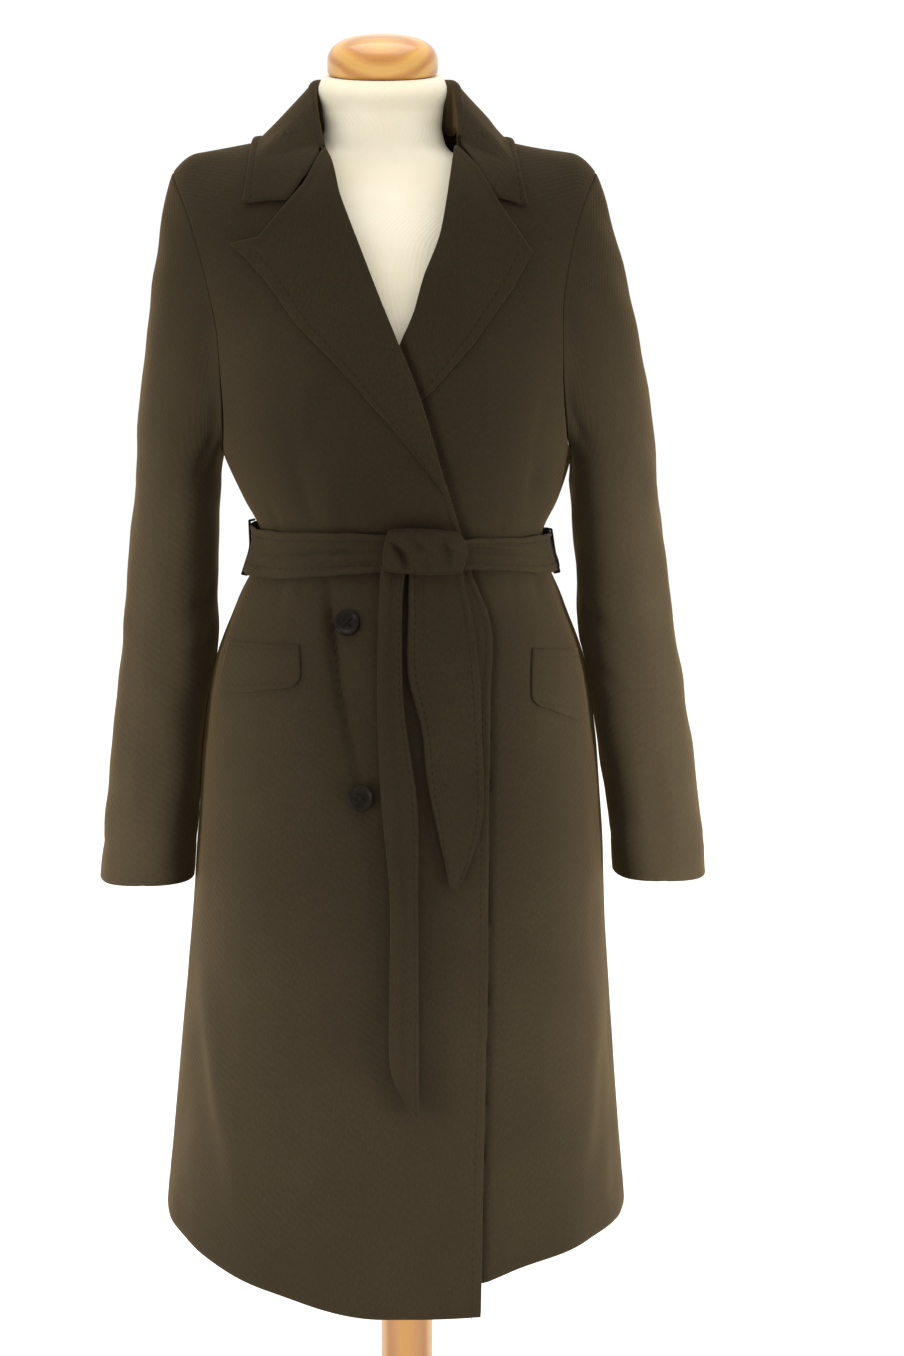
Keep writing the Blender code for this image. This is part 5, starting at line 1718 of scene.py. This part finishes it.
@dataclass
class Belt:
    """The tie belt: its band, loops, knot and two tails."""

    skin: Skin
    wall: float = 0.004
    tail_wall: float = 0.003
    ease_out: float = 0.0029
    crown: float = 0.0025
    band_ease: float = 0.0016
    band_width: float = 0.042
    uneven: Unevenness = Unevenness(0.001, 0.03, 31)
    short_width: float = 0.052
    short_length: float = 0.27
    long_length: float = 0.46
    rim_rise: float = 0.0008
    rim_width: float = 0.004
    deepest: float = 0.0022
    dent_at: float = 0.55
    dent_width: float = 0.24
    dent_end: Span = (0.8, 1.0)
    loop_crown: float = 0.0005
    loop_soft: int = 13
    around: int = 250
    band_rows: int = 18
    knot_height: float = 0.012
    knot_rim: float = 0.0012
    tail_fold: float = 0.0068
    tail_dent: float = 0.0032
    loop_half: float = 0.0045
    loop_wall: float = 0.0018
    loop_end: float = 0.0019
    loop_near: float = 0.0008
    loop_slack: float = -0.0006
    strip_names: tuple[str, ...] = ("right_x", "right_z", "left_x", "left_z", "lift")
    band: Table = Table(
        ("turn", "low", "high"),
        (
            (-180.0, 1.0, 1.043), (-90.0, 0.997, 1.045), (-45.0, 0.998, 1.042), (-12.0, 1.004, 1.044),
            (0.0, 1.006, 1.042), (30.0, 1.007, 1.037), (60.0, 1.001, 1.036), (90.0, 0.999, 1.037),
            (180.0, 1.0, 1.043),
        ),
    )
    long_tail: Rows = mm(
        (-15, 1011, 3, 1011, 9.6), (-16.4, 986, -0.4, 986, 8.8), (-17.6, 945, -1.2, 945, 7.5),
        (-17.8, 888, 1.2, 888, 6.5), (-14.3, 812, 11.8, 812, 6), (-7.6, 737, 12.4, 733, 6),
        (-8, 660, 12.6, 650, 6), (-8.6, 586.3, 13, 560, 6), (3, 556, 12.2, 542, 6),
    )
    short_tail: Rows = mm(
        (6, 1011, 47, 1011, 11.8), (5.2, 993, 50, 993, 9.2), (5, 970, 56, 970, 7), (5, 920, 63, 920, 5.5),
        (16.5, 875.5, 65, 870, 5), (20, 840, 66.4, 837.3, 5), (25, 811.8, 65.6, 800, 5),
        (33, 775, 56, 765, 5), (40, 742, 45, 738, 5),
    )
    knot: Rows = mm(
        (-15, 1053.5, 48, 1051, 10), (-15.5, 1043, 51, 1041.5, 11.2), (-16.5, 1029, 52, 1027, 11.8),
        (-17.8, 1014, 51.5, 1012.5, 13), (-18.5, 1001, 50, 998.5, 16.5),
    )
    knot_round: float = 0.17
    band_creases: Creases = crease_rows(
        (3.4, -3.6, 0.7, -165, -8, -100, 3, -45, 2, 10, 1),
        (3, -2.8, 0.7, -120, 12, -75, 10, -30, 10, 10, 8),
        (3, -3, 0.7, -130, -16, -80, -13, -30, -10, 10, -6),
        (3.4, -3.6, 0.3, 20, 4, 60, 5, 110, 1, 165, -6),
        (3, -3, 0.3, 20, -6, 60, -7, 105, -11, 150, -12),
        (3, -2.4, 0.4, 50, 13, 90, 11, 140, 12),
        (3.6, -1.2, 0.5, -240, 8, -190, -3, -150, -7),
        (3.6, -1.2, 0.5, 150, 8, 190, 1, 235, -8),
        (3.6, -2.8, 0.5, 235, 7, 300, 0, 360, 6),
        (3.6, -2.8, 0.5, -360, -5, -300, 4, -235, -3),
    )
    knot_creases: Creases = crease_rows(
        (3.2, -7.5, 0.5, -18, 1075, -10, 1046, -2, 1025, 5.5, 995, 8, 970),
        (3, -4.6, 0, 6, 1054, 11, 1040, 18, 1024, 23, 1012),
        (3.4, -4.4, 0.5, 30, 1085, 31, 1046, 34.5, 1024, 35, 996, 34, 970),
        (3, -4, 0, 18, 998, 17.5, 1012, 13, 1028),
        (2.8, -3.4, 0, 46, 998, 46.5, 1016, 43, 1034),
        (2.6, -2.8, 0, -11, 999, -12, 1010, -12.5, 1022),
        (6, 1.4, 0.5, 18, 1060, 24, 1034, 28, 1000),
    )
    short_creases: Creases = crease_rows(
        (3.2, -2.2, 0, 14, 1000, 16, 950, 22, 880),
        (3.4, -2, 0, 29, 1000, 33, 960, 36, 915),
        (3.6, -1.8, 0, 43, 998, 49, 960, 52, 900),
        (8, 1.6, 0.4, 30, 900, 40, 830, 47, 770),
    )
    band_cut: Cut = Cut(0.042, 0.8, 0.0312, Held.GATHERED, ("front_right", "front_left", "back"))
    knot_cut: Cut = Cut(0.07, 0.058, 0.0039, Held.GATHERED, ("belt_band",))
    long_cut: Cut = Cut(0.052, 0.47, 0.0236, Held.HUNG, ("front_right",))
    short_cut: Cut = Cut(0.066, 0.28, 0.0136, Held.HUNG, ("front_right",))
    loop_cut: Cut = Cut(0.01, 0.067, 0.00066, Held.LAID, ("belt_band",))
    stitches: StitchRows = field(default_factory=lambda: StitchRows("belt_stitches", thickness=0.0007))

    def build_band(self, wardrobe: Wardrobe) -> None:
        """Makes the band, pulled into lengthwise creases towards the knot."""
        skin = self.skin
        turns = np.linspace(-180.0, 180.0, self.around + 1)[:-1]
        ahead = np.abs(turns) <= 90.0
        face = np.where(ahead, -1, 1)
        turn = np.radians(np.where(ahead, turns, np.sign(turns) * 180.0 - turns))
        low, high = self.band.at("low", turns), self.band.at("high", turns)
        share = spread(self.band_rows, self.band_width, EDGE_LINES[:2], EDGE_LINES[:2])
        level = low + (high - low) * share[:, None]
        turn, face = np.broadcast_to(turn, level.shape), np.broadcast_to(face, level.shape)
        bare = skin.bare(turn, level, face)
        crown = self.crown * (1 - (2 * share - 1) ** 2)[:, None]
        lift = np.where(face < 0, skin.front_lift(bare[..., 0], bare[..., 2]), 0.0)
        lift = lift + self.ease_out + self.wall
        arc = run_length(bare[len(share) // 2], 0)
        arc = np.broadcast_to(arc - np.interp(0.0, turns, arc), level.shape)
        tall = level - (low + high) / 2
        rise = creased(self.band_creases, arc, tall) + np.abs(self.uneven.at(bare))
        grid, out = skin.lifted(turn, level, face, lift + crown + rise)
        wall = ClothWall(grid, out, self.wall - self.band_ease, wrap=True)
        wardrobe.sew("belt_band", self.band_cut, wall, wardrobe.finishes.belt)
        for row in (4, -5):
            self.stitches.lines.append(np.concatenate([grid[row], grid[row, :1]]))

    def strip(self, rows: Rows, down: Array, across: Array) -> Pair:
        """Lays out a strip seen from the front.

        Args:
            rows: its sizes from the top down.
            down: shares down its rows.
            across: shares across it.

        Returns:
            Places as x and z, and the lift there.
        """
        table = Table(("row", *self.strip_names), tuple((float(k), *row) for k, row in enumerate(rows)))
        at = down * (len(rows) - 1)
        right = np.stack([table.at(n, at) for n in ("right_x", "right_z")], axis=-1)
        left = np.stack([table.at(n, at) for n in ("left_x", "left_z")], axis=-1)
        plan = right[:, None] + (left - right)[:, None] * across[None, :, None]
        return plan, np.repeat(table.at("lift", at)[:, None], len(across), axis=1)

    def build_knot(self, wardrobe: Wardrobe) -> None:
        """Makes the knot, a soft fold of the belt drawn over the band."""
        across, down = np.linspace(0.0, 1.0, 61), np.linspace(0.0, 1.0, 51)
        wide, tall = (2 * across - 1)[None], (2 * down - 1)[:, None]
        plan, lift = self.strip(self.knot, down, across)
        middle = plan.mean(axis=(0, 1))
        pull = np.stack(
            np.broadcast_arrays(1 - self.knot_round * tall**2, 1 - self.knot_round * wide**2), axis=-1,
        )
        plan = middle + (plan - middle) * np.sqrt(pull)
        height = self.knot_height * np.sqrt((1 - wide**10) * (1 - np.abs(tall) ** 3.2))
        rim = (1 - np.abs(wide) ** 8) * (1 - np.abs(tall) ** 8)
        height = height + creased(self.knot_creases, plan[..., 0], plan[..., 1]) * rim
        grid, out = self.skin.on_front(plan, lift + self.knot_rim + height)
        slope = unit(np.cross(np.gradient(grid, axis=1), np.gradient(grid, axis=0)))
        slope = slope * np.sign((slope * out).sum())
        wardrobe.sew(
            "belt_knot", self.knot_cut, ClothWall(grid, slope, self.knot_rim), wardrobe.finishes.belt,
        )

    def build_short_tail(self, wardrobe: Wardrobe) -> None:
        """Makes the short tail, which hangs flat with soft creases under the knot."""
        down = spread(90, self.short_length, (), EDGE_LINES[:2])
        across = spread(20, self.short_width, EDGE_LINES[:3], EDGE_LINES[:3])
        plan, lift = self.strip(self.short_tail, down, across)
        rise = creased(self.short_creases, plan[..., 0], plan[..., 1])
        edge = np.minimum(across, 1 - across)[None] * self.short_width
        rise = np.maximum(rise + self.rim_rise * bell(edge, self.rim_width), -self.deepest)
        grid, out = self.skin.on_front(plan, lift + self.tail_wall + rise)
        wall = ClothWall(grid, out, self.tail_wall)
        wardrobe.sew("belt_tail_short", self.short_cut, wall, wardrobe.finishes.belt)
        for column in (3, -4):
            self.stitches.lines.append(grid[8:-6, column])

    def build_long_tail(self, wardrobe: Wardrobe) -> None:
        """Makes the long tail, which is folded along its length and hangs edge on."""
        down = spread(110, self.long_length, (), EDGE_LINES[:2])
        across = np.linspace(0.0, 1.0, 17)
        plan, lift = self.strip(self.long_tail, down, across)
        dent = self.tail_dent * bell(across - self.dent_at, self.dent_width)
        dent = dent * (1 - ease(down, *self.dent_end))[:, None]
        rear, out = self.skin.on_front(plan, lift)
        fore, _ = self.skin.on_front(plan, lift + self.tail_fold - dent)
        across_way = unit(fore[:, -1] - fore[:, 0])
        middle, angles = (fore[:, 0] + rear[:, 0]) / 2, np.linspace(-QUARTER, QUARTER, 9)[1:-1]
        turned, turned_out = rolled(middle, -across_way, out[:, 0], self.tail_fold / 2, angles)
        grid = np.concatenate([rear[:, ::-1], turned, fore], axis=1)
        ways = np.concatenate([-out[:, ::-1], turned_out, out], axis=1)
        wall = ClothWall(grid, ways, self.tail_wall)
        wardrobe.sew("belt_tail_long", self.long_cut, wall, wardrobe.finishes.belt)
        self.stitches.lines.append(fore[8:-6, -3])

    def build_loops(self, wardrobe: Wardrobe) -> None:
        """Makes the two narrow loops at the side seams."""
        for side, node in ((Side.RIGHT, "belt_loop_right"), (Side.LEFT, "belt_loop_left")):
            low = float(self.band.at("low", 90.0 * side.value))
            high = float(self.band.at("high", 90.0 * side.value))
            flat = self.loop_wall + self.loop_slack
            over = self.ease_out + self.wall + flat
            near, end = self.loop_near, self.loop_end
            level = np.array((high + end, high + near, high, (high + low) / 2, low, low - near, low - end))
            lift = np.array((flat, over - near, over, over + self.crown, over, over - near, flat))
            half = self.skin.measure("half_width", level) + lift
            x = self.skin.measure("centre_x", level) + side.value * half
            at = np.linspace(0.0, len(level) - 1.0, 91)
            soft = np.hanning(self.loop_soft) / np.hanning(self.loop_soft).sum()
            level, x = (np.interp(at, np.arange(len(v)), v) for v in (level, x))
            wider = (np.pad(v, self.loop_soft // 2, mode="edge") for v in (level, x))
            level, x = (np.convolve(v, soft, mode="valid") for v in wider)
            slope = np.stack([-np.gradient(level), np.zeros_like(x), np.gradient(x)], axis=-1)
            slope = unit(slope) * side.value
            wide = np.linspace(-1.0, 1.0, 9)
            crown = self.loop_crown * (1 - wide**2)
            outer = x[:, None] + side.value * crown[None]
            grid = np.stack(np.broadcast_arrays(outer, wide[None] * self.loop_half, level[:, None]), axis=-1)
            out = np.broadcast_to(slope[:, None], grid.shape).copy()
            wardrobe.sew(node, self.loop_cut, ClothWall(grid, out, self.loop_wall), wardrobe.finishes.belt)

    def build(self, wardrobe: Wardrobe) -> None:
        """Makes the whole belt and its edge stitches."""
        self.build_band(wardrobe)
        self.build_loops(wardrobe)
        self.build_knot(wardrobe)
        self.build_short_tail(wardrobe)
        self.build_long_tail(wardrobe)
        wardrobe.stitch(self.stitches)


@dataclass
class PocketFlaps:
    """The two flaps at the hips, with rounded lower corners."""

    belt: Belt
    wall: float = 0.002
    corner: float = 0.012
    swell: float = 0.0005
    width: float = 0.07
    length: float = 0.045
    right: Rows = mm((-154, 943, -89, 944, 0.4), (-158.5, 922, -88, 928, 0.6), (-164, 900, -87, 909, 0.6))
    left: Rows = mm((112, 940, 152, 934, 0.4), (111.5, 915, 157.5, 905, 0.6), (111, 890, 161, 876, 0.6))
    right_cut: Cut = Cut(0.09, 0.047, 0.0042, Held.HUNG, ("front_right",))
    left_cut: Cut = Cut(0.08, 0.062, 0.0043, Held.HUNG, ("front_left",))

    def build(self, wardrobe: Wardrobe) -> None:
        """Makes both flaps and the stitches that hold them."""
        stitches = StitchRows("flap_stitches")
        rows = (
            ("pocket_flap_right", self.right, self.right_cut),
            ("pocket_flap_left", self.left, self.left_cut),
        )
        for node, sizes, cut in rows:
            down = spread(22, self.length, EDGE_LINES[:3], EDGE_LINES[:3])
            across = spread(36, self.width, EDGE_LINES[:3], EDGE_LINES[:3])
            plan, lift = self.belt.strip(sizes, down, across)
            rise = run_length(plan, 0)
            low = rise[-1][None] - rise
            inside = np.maximum(self.corner - low, 0.0)
            pull = self.corner - np.sqrt(np.maximum(self.corner**2 - inside**2, 0.0))
            middle = (plan[:, :1, 0] + plan[:, -1:, 0]) / 2
            half = np.abs(plan[:, -1:, 0] - plan[:, :1, 0]) / 2
            plan[..., 0] = middle + (plan[..., 0] - middle) * (1 - pull / half)
            swell = self.swell * np.sin(math.pi * across)[None] * ease(down, 0.0, 0.5)[:, None]
            grid, out = self.belt.skin.on_front(plan, lift + self.wall + swell)
            wardrobe.sew(node, cut, ClothWall(grid, out, self.wall))
            stitches.lines.append(grid[3, 2:-2])
            stitches.lines.append(grid[-4, 4:-4])
        wardrobe.stitch(stitches)


@dataclass
class Lathe:
    """A turned shape: rings of points closed at both ends."""

    name: str
    rings: Array

    def build(self, finish: Material) -> Piece:
        """Makes the closed shape with a map that runs round it and along it.

        Args:
            finish: its material.

        Returns:
            The object.
        """
        rows, columns = self.rings.shape[:2]
        ends = [self.rings[0].mean(axis=0), self.rings[-1].mean(axis=0)]
        points = np.concatenate([self.rings.reshape(-1, 3), ends])
        closed = np.concatenate([self.rings, self.rings[:, :1]], axis=1)
        flat = np.stack([run_length(closed, 1), run_length(closed, 0)], axis=-1)
        sides, maps = quads(flat, columns)
        faces, corners = sides.tolist(), maps.reshape(-1, 2).tolist()
        for row, tip, order in ((0, rows * columns, 1), (rows - 1, rows * columns + 1, -1)):
            for a in range(columns):
                b = (a + 1) % columns
                ends_of = (tip, row * columns + b, row * columns + a)[::order]
                faces.append(list(ends_of))
                spots = (flat[row, a], flat[row, a + 1], flat[row, a])[::order]
                corners += [spot.tolist() for spot in spots]
        mesh = bpy.data.meshes.new(self.name)
        mesh.from_pydata(points.tolist(), [], faces)
        layer = mesh.uv_layers.new(name="cut")
        layer.data.foreach_set("uv", np.array(corners, np.float32).ravel())
        return new_object(self.name, mesh, finish)


@dataclass
class Buttons:
    """Two four-hole buttons sewn to the over front; they stay where they are."""

    skin: Skin
    radius: float = 0.0115
    height: float = 0.004
    hole: float = 0.0011
    hole_out: float = 0.0028
    sharp: float = math.radians(34)
    thread_foot: float = 0.0012
    thread_rise: float = 0.0009
    thread_points: int = 15
    round_count: int = 64
    places: tuple[tuple[str, float, float, float], ...] = (
        ("button_upper", -0.0476, 0.9636, 0.0018),
        ("button_lower", -0.0349, 0.8185, 0.0058),
    )
    profile: Line = (
        (0.0, -0.5), (0.8, -0.5), (0.93, -0.4), (0.99, -0.15), (1.0, 0.08), (0.97, 0.34), (0.92, 0.46),
        (0.86, 0.5), (0.79, 0.47), (0.71, 0.36), (0.62, 0.26), (0.5, 0.2), (0.3, 0.17), (0.0, 0.16),
    )

    def frame_at(self, x: float, z: float, lift: float) -> Pair:
        """Gives the middle of a button and its three ways: across, up and out."""
        points, out = self.skin.on_front(np.array([[x, z]]), lift)
        out = out[0]
        across = unit(np.cross(UP, out))
        return points[0] + out * self.height / 2, np.stack([across, np.cross(out, across), out])

    def build(self, wardrobe: Wardrobe) -> None:
        """Turns each button, drills its four holes and crosses its thread."""
        for node, x, z, lift in self.places:
            middle, ways = self.frame_at(x, z, lift)
            angle = np.arange(self.round_count) * 2 * math.pi / self.round_count
            rings = []
            for share, level in self.profile[1:-1]:
                spot = [share * self.radius * np.cos(angle), share * self.radius * np.sin(angle)]
                rings.append(
                    np.stack([*spot, np.full_like(angle, level * self.height)], axis=-1) @ ways + middle,
                )
            disc = Lathe(node, np.stack(rings)).build(wardrobe.finishes.button)
            spots = [(a * self.hole_out, b * self.hole_out) for a in (-1, 1) for b in (-1, 1)]
            for a, b in spots:
                drill = bpy.data.meshes.new("drill")
                shape = bmesh.new()
                bmesh.ops.create_cone(
                    shape, cap_ends=True, segments=20, radius1=self.hole, radius2=self.hole,
                    depth=self.height * 3,
                )
                shape.to_mesh(drill)
                shape.free()
                tool = bpy.data.objects.new("drill", drill)
                bpy.context.scene.collection.objects.link(tool)
                turn = Matrix([list(column) for column in ways.T]).to_4x4()
                tool.matrix_world = Matrix.Translation(middle + np.array([a, b, 0.0]) @ ways) @ turn
                cut = disc.modifiers.new("hole", "BOOLEAN")
                cut.operation, cut.object, cut.solver = "DIFFERENCE", tool, "EXACT"
                bpy.context.view_layer.update()
                graph = bpy.context.evaluated_depsgraph_get()
                made = bpy.data.meshes.new_from_object(disc.evaluated_get(graph))
                disc.modifiers.clear()
                disc.data = made
                bpy.data.objects.remove(tool, do_unlink=True)
            disc.data.materials.clear()
            disc.data.materials.append(wardrobe.finishes.button)
            bpy.context.view_layer.update()
            disc.data.set_sharp_from_angle(angle=self.sharp)
            wardrobe.take(disc, Slot.BUTTON, node)
            strands = StitchRows(f"{node}_thread", spacing=0.002, length=0.0026, thickness=0.0009)
            for start, end in ((0, 3), (1, 2)):
                share = np.linspace(0.0, 1.0, self.thread_points)[:, None]
                flat = np.array(spots[start]) * (1 - share) + np.array(spots[end]) * share
                dome = self.thread_foot + self.thread_rise * np.sin(math.pi * share[:, 0])
                strands.lines.append(np.column_stack([flat, dome]) @ ways + middle)
            wardrobe.stitch(strands)


@dataclass
class Stand:
    """The limbless form with its neck cap, on a turned pole and a round base."""

    around: int = 112
    square: float = 2.15
    tilt: float = math.radians(10.5)
    tilt_levels: Span = (1.385, 1.437)
    neck: Span = (-0.0187, -0.004)
    gap: float = 0.0003
    form_rows: int = 150
    pole_rows: int = 24
    base_sharp: float = math.radians(40)
    pole_radius: float = 0.024
    pole_ends: Span = (0.0263, 0.7497)
    form: Table = Table(
        ("level", "half_width", "front", "back", "centre_x", "mid_y"),
        mm(
            (750, 130, 95, 95, -3, 0), (756, 142, 106, 106, -3, 0), (770, 148, 111, 112, -3, 0),
            (820, 152, 115, 118, -3, 0), (880, 146, 108, 114, -2.8, 0), (940, 132, 96, 102, -2.8, 0),
            (990, 118, 85, 86, -3, 0), (1030, 112, 81, 77, -3, 0), (1070, 119, 89, 81, -3.3, 0),
            (1120, 134, 106, 90, -7, 0), (1170, 144, 112, 96, -10, 0), (1220, 150, 106, 100, -12, 1),
            (1270, 156, 94, 98, -15, 2), (1300, 156, 84, 93, -16, 2), (1325, 147, 73, 84, -17, 2),
            (1345, 120, 62, 66, -17.8, 1), (1358, 92, 55, 55, -18.2, 0), (1370, 62, 51.5, 46, -18.4, -1),
            (1385, 53, 51.5, 45, -18.6, -2), (1405, 53, 52, 49, -18.7, -3), (1434, 53.8, 53, 52, -18.7, -4),
            (1437, 51.5, 50.5, 50, -18.7, -4),
        ),
    )
    cap: Line = mm(
        (44, 0), (47, 0.6), (48.4, 2.6), (48.6, 6), (48.6, 13), (48.1, 17), (46.6, 20.6), (44, 24.2),
        (40, 27.6), (34, 30.8), (26, 33.2), (16, 34.6), (6, 35),
    )
    base: Line = mm(
        (188, 0), (193, 0.6), (195, 3), (195, 19), (194, 22.2), (191.5, 24.6), (187, 25.8), (182, 26),
        (50, 26),
    )

    def build_form(self, wardrobe: Wardrobe) -> None:
        """Makes the padded form, its neck cut aslant."""
        levels = self.form.column("level")
        levels = np.unique(np.concatenate([levels, np.linspace(levels[0], levels[-1], self.form_rows)]))
        angle = np.arange(self.around) * 2 * math.pi / self.around
        side, ahead = np.cos(angle), np.sin(angle)
        power = 2 / self.square
        rings = []
        for level in levels:
            size = {name: float(self.form.at(name, level)) for name in self.form.names[1:]}
            x = size["centre_x"] + size["half_width"] * np.sign(side) * np.abs(side) ** power
            deep = np.where(ahead < 0, size["front"], size["back"])
            y = size["mid_y"] + deep * np.sign(ahead) * np.abs(ahead) ** power
            z = level + ease(level, *self.tilt_levels) * math.tan(self.tilt) * (y - self.neck[1])
            rings.append(np.stack([x, y, z], axis=-1))
        piece = Lathe("form_torso_cover", np.stack(rings)).build(wardrobe.finishes.jersey)
        wardrobe.take(piece, Slot.JERSEY, "form_torso")

    def turned(self, profile: Line) -> Array:
        """Gives the rings of a turned profile about an upright axis."""
        angle = np.arange(self.around) * 2 * math.pi / self.around
        flat = np.stack([np.cos(angle), np.sin(angle), np.zeros_like(angle)], -1)
        return np.stack([r * flat + UP * z for r, z in profile])

    def build(self, wardrobe: Wardrobe) -> None:
        """Makes the form, cap, pole and base."""
        self.build_form(wardrobe)
        cap = self.turned(self.cap)
        cosine, sine = math.cos(self.tilt), math.sin(self.tilt)
        lean = np.array([[1.0, 0.0, 0.0], [0.0, cosine, sine], [0.0, -sine, cosine]])
        cap = cap @ lean + np.array([*self.neck, self.form.rows[-1][0] + self.gap])
        wardrobe.take(Lathe("neck_cap_turned", cap).build(wardrobe.finishes.wood_flat), Slot.WOOD, "neck_cap")
        low, high = self.pole_ends
        pole = self.turned(tuple((self.pole_radius, z) for z in np.linspace(low, high, self.pole_rows)))
        wardrobe.take(Lathe("pole_turned", pole).build(wardrobe.finishes.wood_upright), Slot.WOOD, "pole")
        base = Lathe("base_turned", self.turned(self.base)).build(wardrobe.finishes.wood_flat)
        base.data.set_sharp_from_angle(angle=self.base_sharp)
        wardrobe.take(base, Slot.WOOD, "base")


@dataclass(frozen=True)
class Lamp:
    """One soft lamp: its place, what it is aimed at, its size, power and spread."""

    name: str
    place: tuple[float, float, float]
    aim: tuple[float, float, float]
    size: Span
    power: float
    spread: float = 180.0

    def hang(self, scene: bpy.types.Scene) -> None:
        """Puts the lamp in the scene, out of the camera's sight."""
        light = bpy.data.lights.new(self.name, "AREA")
        light.shape, light.size, light.size_y = "RECTANGLE", self.size[0], self.size[1]
        light.energy, light.spread = self.power, math.radians(self.spread)
        lamp = bpy.data.objects.new(self.name, light)
        lamp.location = self.place
        lamp.rotation_euler = (Vector(self.aim) - Vector(self.place)).to_track_quat("-Z", "Y").to_euler()
        lamp.visible_camera = False
        scene.collection.objects.link(lamp)


@dataclass
class Studio:
    """White floor, white surroundings, soft lights and the camera of the photograph."""

    floor_radius: float = 9.0
    sky: float = 1.02
    camera_at: tuple[float, float, float] = (0.0423, -2.4, 1.2214)
    pitch: float = 7.583
    lens: float = 70.796
    lamps: tuple[Lamp, ...] = (
        Lamp("key", (-1.9, -2.6, 2.6), (0.0, 0.0, 0.95), (1.6, 2.0), 5.0),
        Lamp("right_sleeve", (0.74, -0.6, 0.84), (0.27, -0.03, 0.84), (0.14, 0.7), 2.4, 32.0),
        Lamp("left_sleeve", (-0.78, -0.6, 0.86), (-0.27, -0.03, 0.86), (0.14, 0.7), 1.6, 32.0),
        Lamp("right_skirt", (0.85, -0.6, 0.42), (0.14, -0.08, 0.46), (0.3, 0.4), 1.1, 50.0),
        Lamp("left_skirt", (-0.9, -0.6, 0.42), (-0.14, -0.08, 0.46), (0.3, 0.4), 1.25, 50.0),
        Lamp("top", (0.0, -0.1, 3.6), (0.0, 0.0, 0.95), (2.6, 2.6), 56.0),
    )

    def build(self, finishes: Finishes) -> None:
        """Lights the scene and sets the camera."""
        scene = bpy.context.scene
        mesh = bpy.data.meshes.new("floor")
        shape = bmesh.new()
        bmesh.ops.create_circle(shape, cap_ends=True, segments=96, radius=self.floor_radius)
        shape.to_mesh(mesh)
        shape.free()
        floor = new_object("floor", mesh, finishes.floor)
        world = bpy.data.worlds.new("white_room")
        world.use_nodes = True
        world.node_tree.nodes["Background"].inputs["Strength"].default_value = self.sky
        world.node_tree.nodes["Background"].inputs["Color"].default_value = (1.0, 1.0, 1.0, 1.0)
        scene.world = world
        for lamp in self.lamps:
            lamp.hang(scene)
        lens = bpy.data.cameras.new("camera")
        lens.sensor_fit, lens.sensor_height, lens.lens = "VERTICAL", 36.0, self.lens
        lens.clip_end = 60.0
        camera = bpy.data.objects.new("camera", lens)
        camera.location = self.camera_at
        camera.rotation_euler = (math.radians(90.0 - self.pitch), 0.0, 0.0)
        scene.collection.objects.link(camera)
        scene.camera = camera
        scene.view_settings.view_transform = "Standard"
        scene.view_settings.look = "None"


def main() -> None:
    """Builds every class in order."""
    logging.basicConfig(level=logging.INFO, format="%(message)s")
    finishes = Finishes.made()
    wardrobe = Wardrobe(finishes)
    skin = Skin()
    belt = Belt(skin)
    cloth = (Panels(skin), Sleeves(skin), Lapels(skin), Collar(skin), belt, PocketFlaps(belt))
    for part in (*cloth, Buttons(skin), Stand()):
        part.build(wardrobe)
    Studio().build(finishes)
    LOG.info("%d pieces", wardrobe.count)


if __name__ == "__main__":
    main()
